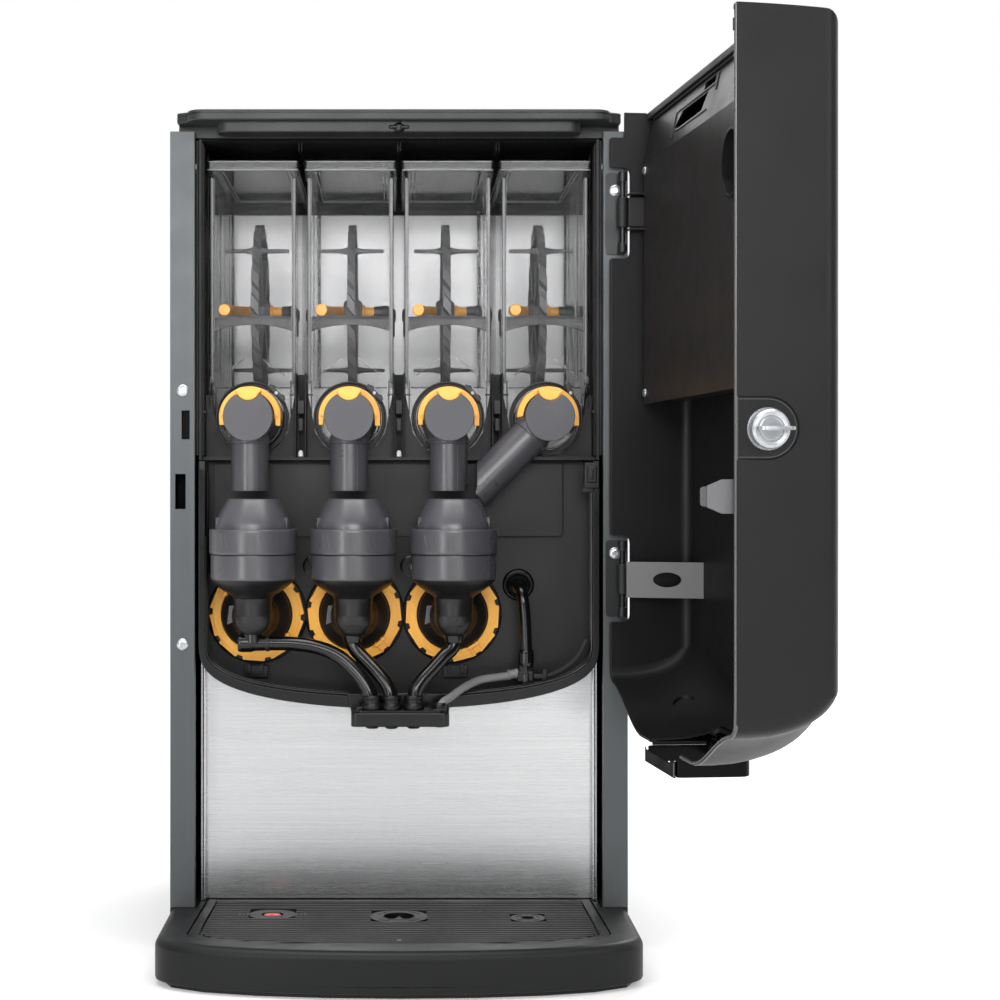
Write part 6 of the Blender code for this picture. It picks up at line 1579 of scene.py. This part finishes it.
slots, ribs = [], []
y = 31.0
while y > -134.0:
    half = min(160.5, half_width(y - 3.0))
    if half > 20:
        spans = [(-half, half)]
        for a, b, y0, y1 in ((-131, -87, -44, -5), (-27, 27, -60, -5), (93, 127, -54, -22)):
            if y0 < y < y1:
                spans = [(p, q) for s, e in spans for p, q in ((s, min(e, a)), (max(s, b), e)) if q - p > 3]
        for a, b in spans:
            slots.append(box((a, y - 1.9, 30), (b, y + 1.9, 44)))
    y -= 7.0
cut(slab, merged(*slots), *ports)
y = 34.5
while y > -136.0:
    half = min(161.5, half_width(y - 2.0) + 1.0)
    if half > 18:
        spans = [(-half, half)]
        for a, b, y0, y1 in ((-129, -89, -42, -6), (-24, 24, -56, -8), (95, 125, -52, -24)):
            if y0 < y < y1:
                spans = [(p, q) for s, e in spans for p, q in ((s, min(e, a)), (max(s, b), e)) if q - p > 3]
        for a, b in spans:
            ribs.append(plate([[(y - 2.3, GRILLE_Z - 3.6), (y + 2.3, GRILLE_Z - 3.6), (y + 2.1, GRILLE_Z - 0.5), (y + 1.5, GRILLE_Z), (y - 1.5, GRILLE_Z), (y - 2.1, GRILLE_Z - 0.5)]], a, b, "X"))
    y -= 7.0
for x in range(-148, 149, 37):
    ribs.append(box((x - 1.3, -112.0 if abs(x) < 130 else -100.0, GRILLE_Z - 3.7), (x + 1.3, 33.0, GRILLE_Z - 2.4), 0.3, 1))
border = plate([grille_line(0.4), grille_line(8.0)], GRILLE_Z - 3.4, GRILLE_Z, "Z", 0.5, 2, 50)
teeth = []
for side in (-1, 1):
    yy = 30.0
    while yy > -100.0:
        teeth.append(box((side * 166.2 - 1.9, yy - 2.6, GRILLE_Z - 1.0), (side * 166.2 + 1.9, yy + 0.2, GRILLE_Z - 0.02), 0.3, 1))
        yy -= 7.0
pads = []
for cx, cy, rx, ry in ((0, -32, 24.6, 23.6), (110, -38, 14.8, 14.2), (-109, -24, 20.0, 18.0)):
    pad = plate([rect(cx - rx, cy - ry, cx + rx, cy + ry, min(rx, ry) * 0.9, 8)], GRILLE_Z - 2.6, GRILLE_Z - 0.4, "Z", 0.4, 2, 50)
    pads.append(pad)
pad_all = merged(*pads)
cut(pad_all, cylinder((0, -32, 20), (0, -32, 50), 13.0, 64), cylinder((110, -38, 20), (110, -38, 50), 5.2, 40),
    plate([rect(-118.6, -30.6, -99.4, -17.4, 6.4, 6)], 20, 50))
piece("grille_skin", merged(slab, border, *ribs), "grille", "grille", "drip_grille", 35)
piece("grille_pads", pad_all, "grille", "grille", (), 40)
marks = []
for cx, cy, r in ((0, -32, 19.6), (110, -38, 10.6)):
    for start in (25, 115, 205, 295):
        arc = [Vector((cx + r * math.cos(math.radians(start + 40 * i / 8)), cy + r * math.sin(math.radians(start + 40 * i / 8)), GRILLE_Z - 0.3)) for i in range(9)]
        marks.append(sweep_section(arc, [(-0.5, -0.2), (0.5, -0.2), (0.5, 0.28), (-0.5, 0.28)], up=(0, 0, 1)))
for k in range(3):
    marks.append(box((-131.0 - 3.4 * k, -27.0, GRILLE_Z - 0.6), (-129.6 - 3.4 * k, -21.0, GRILLE_Z - 0.05), 0.15, 1))
    marks.append(box((-88.4 + 3.4 * k, -27.0, GRILLE_Z - 0.6), (-87.0 + 3.4 * k, -21.0, GRILLE_Z - 0.05), 0.15, 1))
piece("grille_marks", merged(*marks), "wall", "grille", (), 40)
piece("grille_teeth", merged(*teeth), "black", "grille", (), 40)
rims = merged(
    lathe(rounded([(13.0, GRILLE_Z - 2.4), (15.6, GRILLE_Z - 2.4), (15.4, GRILLE_Z - 0.1), (13.3, GRILLE_Z - 0.1)], 0.4, 3), (0, -32, 0), (0, 0, 1), 72),
    lathe(rounded([(5.2, GRILLE_Z - 2.4), (6.8, GRILLE_Z - 2.4), (6.6, GRILLE_Z - 0.1), (5.4, GRILLE_Z - 0.1)], 0.3, 3), (110, -38, 0), (0, 0, 1), 48))
piece("grille_port_rims", rims, "tray", "grille", (), 40)
spokes = merged(box((-12.9, -32.8, 33.4), (12.9, -31.2, 35.0), 0.3, 1), box((-0.8, -44.9, 33.4), (0.8, -19.1, 35.0), 0.3, 1),
                lathe(rounded([(0, 33.4), (3.6, 33.4), (3.6, 35.4), (0, 35.6)], 0.3, 2, False), (0, -32, 0), (0, 0, 1), 32, closed=False))
piece("grille_port_spokes", spokes, "tray", "grille", (), 40)
dot = lathe(rounded([(0, GRILLE_Z - 1.0), (2.0, GRILLE_Z - 1.0), (1.8, GRILLE_Z - 0.1), (0, GRILLE_Z - 0.05)], 0.3, 2, False), (0, -122, 0), (0, 0, 1), 28, closed=False)
piece("grille_front_mark", dot, "mixer", "grille", (), 40)

# level float: a red domed head on a stem, over its foam block
head = plate([rect(-116.2, -28.2, -101.8, -19.8, 4.1, 6)], 33.6, GRILLE_Z - 0.4, "Z", 1.0, 4, 50)
ridge = plate([rect(-111.0, -26.2, -107.0, -21.8, 1.9, 4)], GRILLE_Z - 0.9, GRILLE_Z - 0.1, "Z", 0.3, 2, 50)
stem = plate([rect(-114.6, -27.0, -103.4, -21.0, 2.6, 4)], 12.0, 34.0, "Z", 0.3, 1, 50)
foot = box((-124, -36, 8.0), (-94, -12, 15.0), 1.6, 4)
piece("float_skin", merged(head, ridge, stem, foot), "red", "float", "level_float", 40)
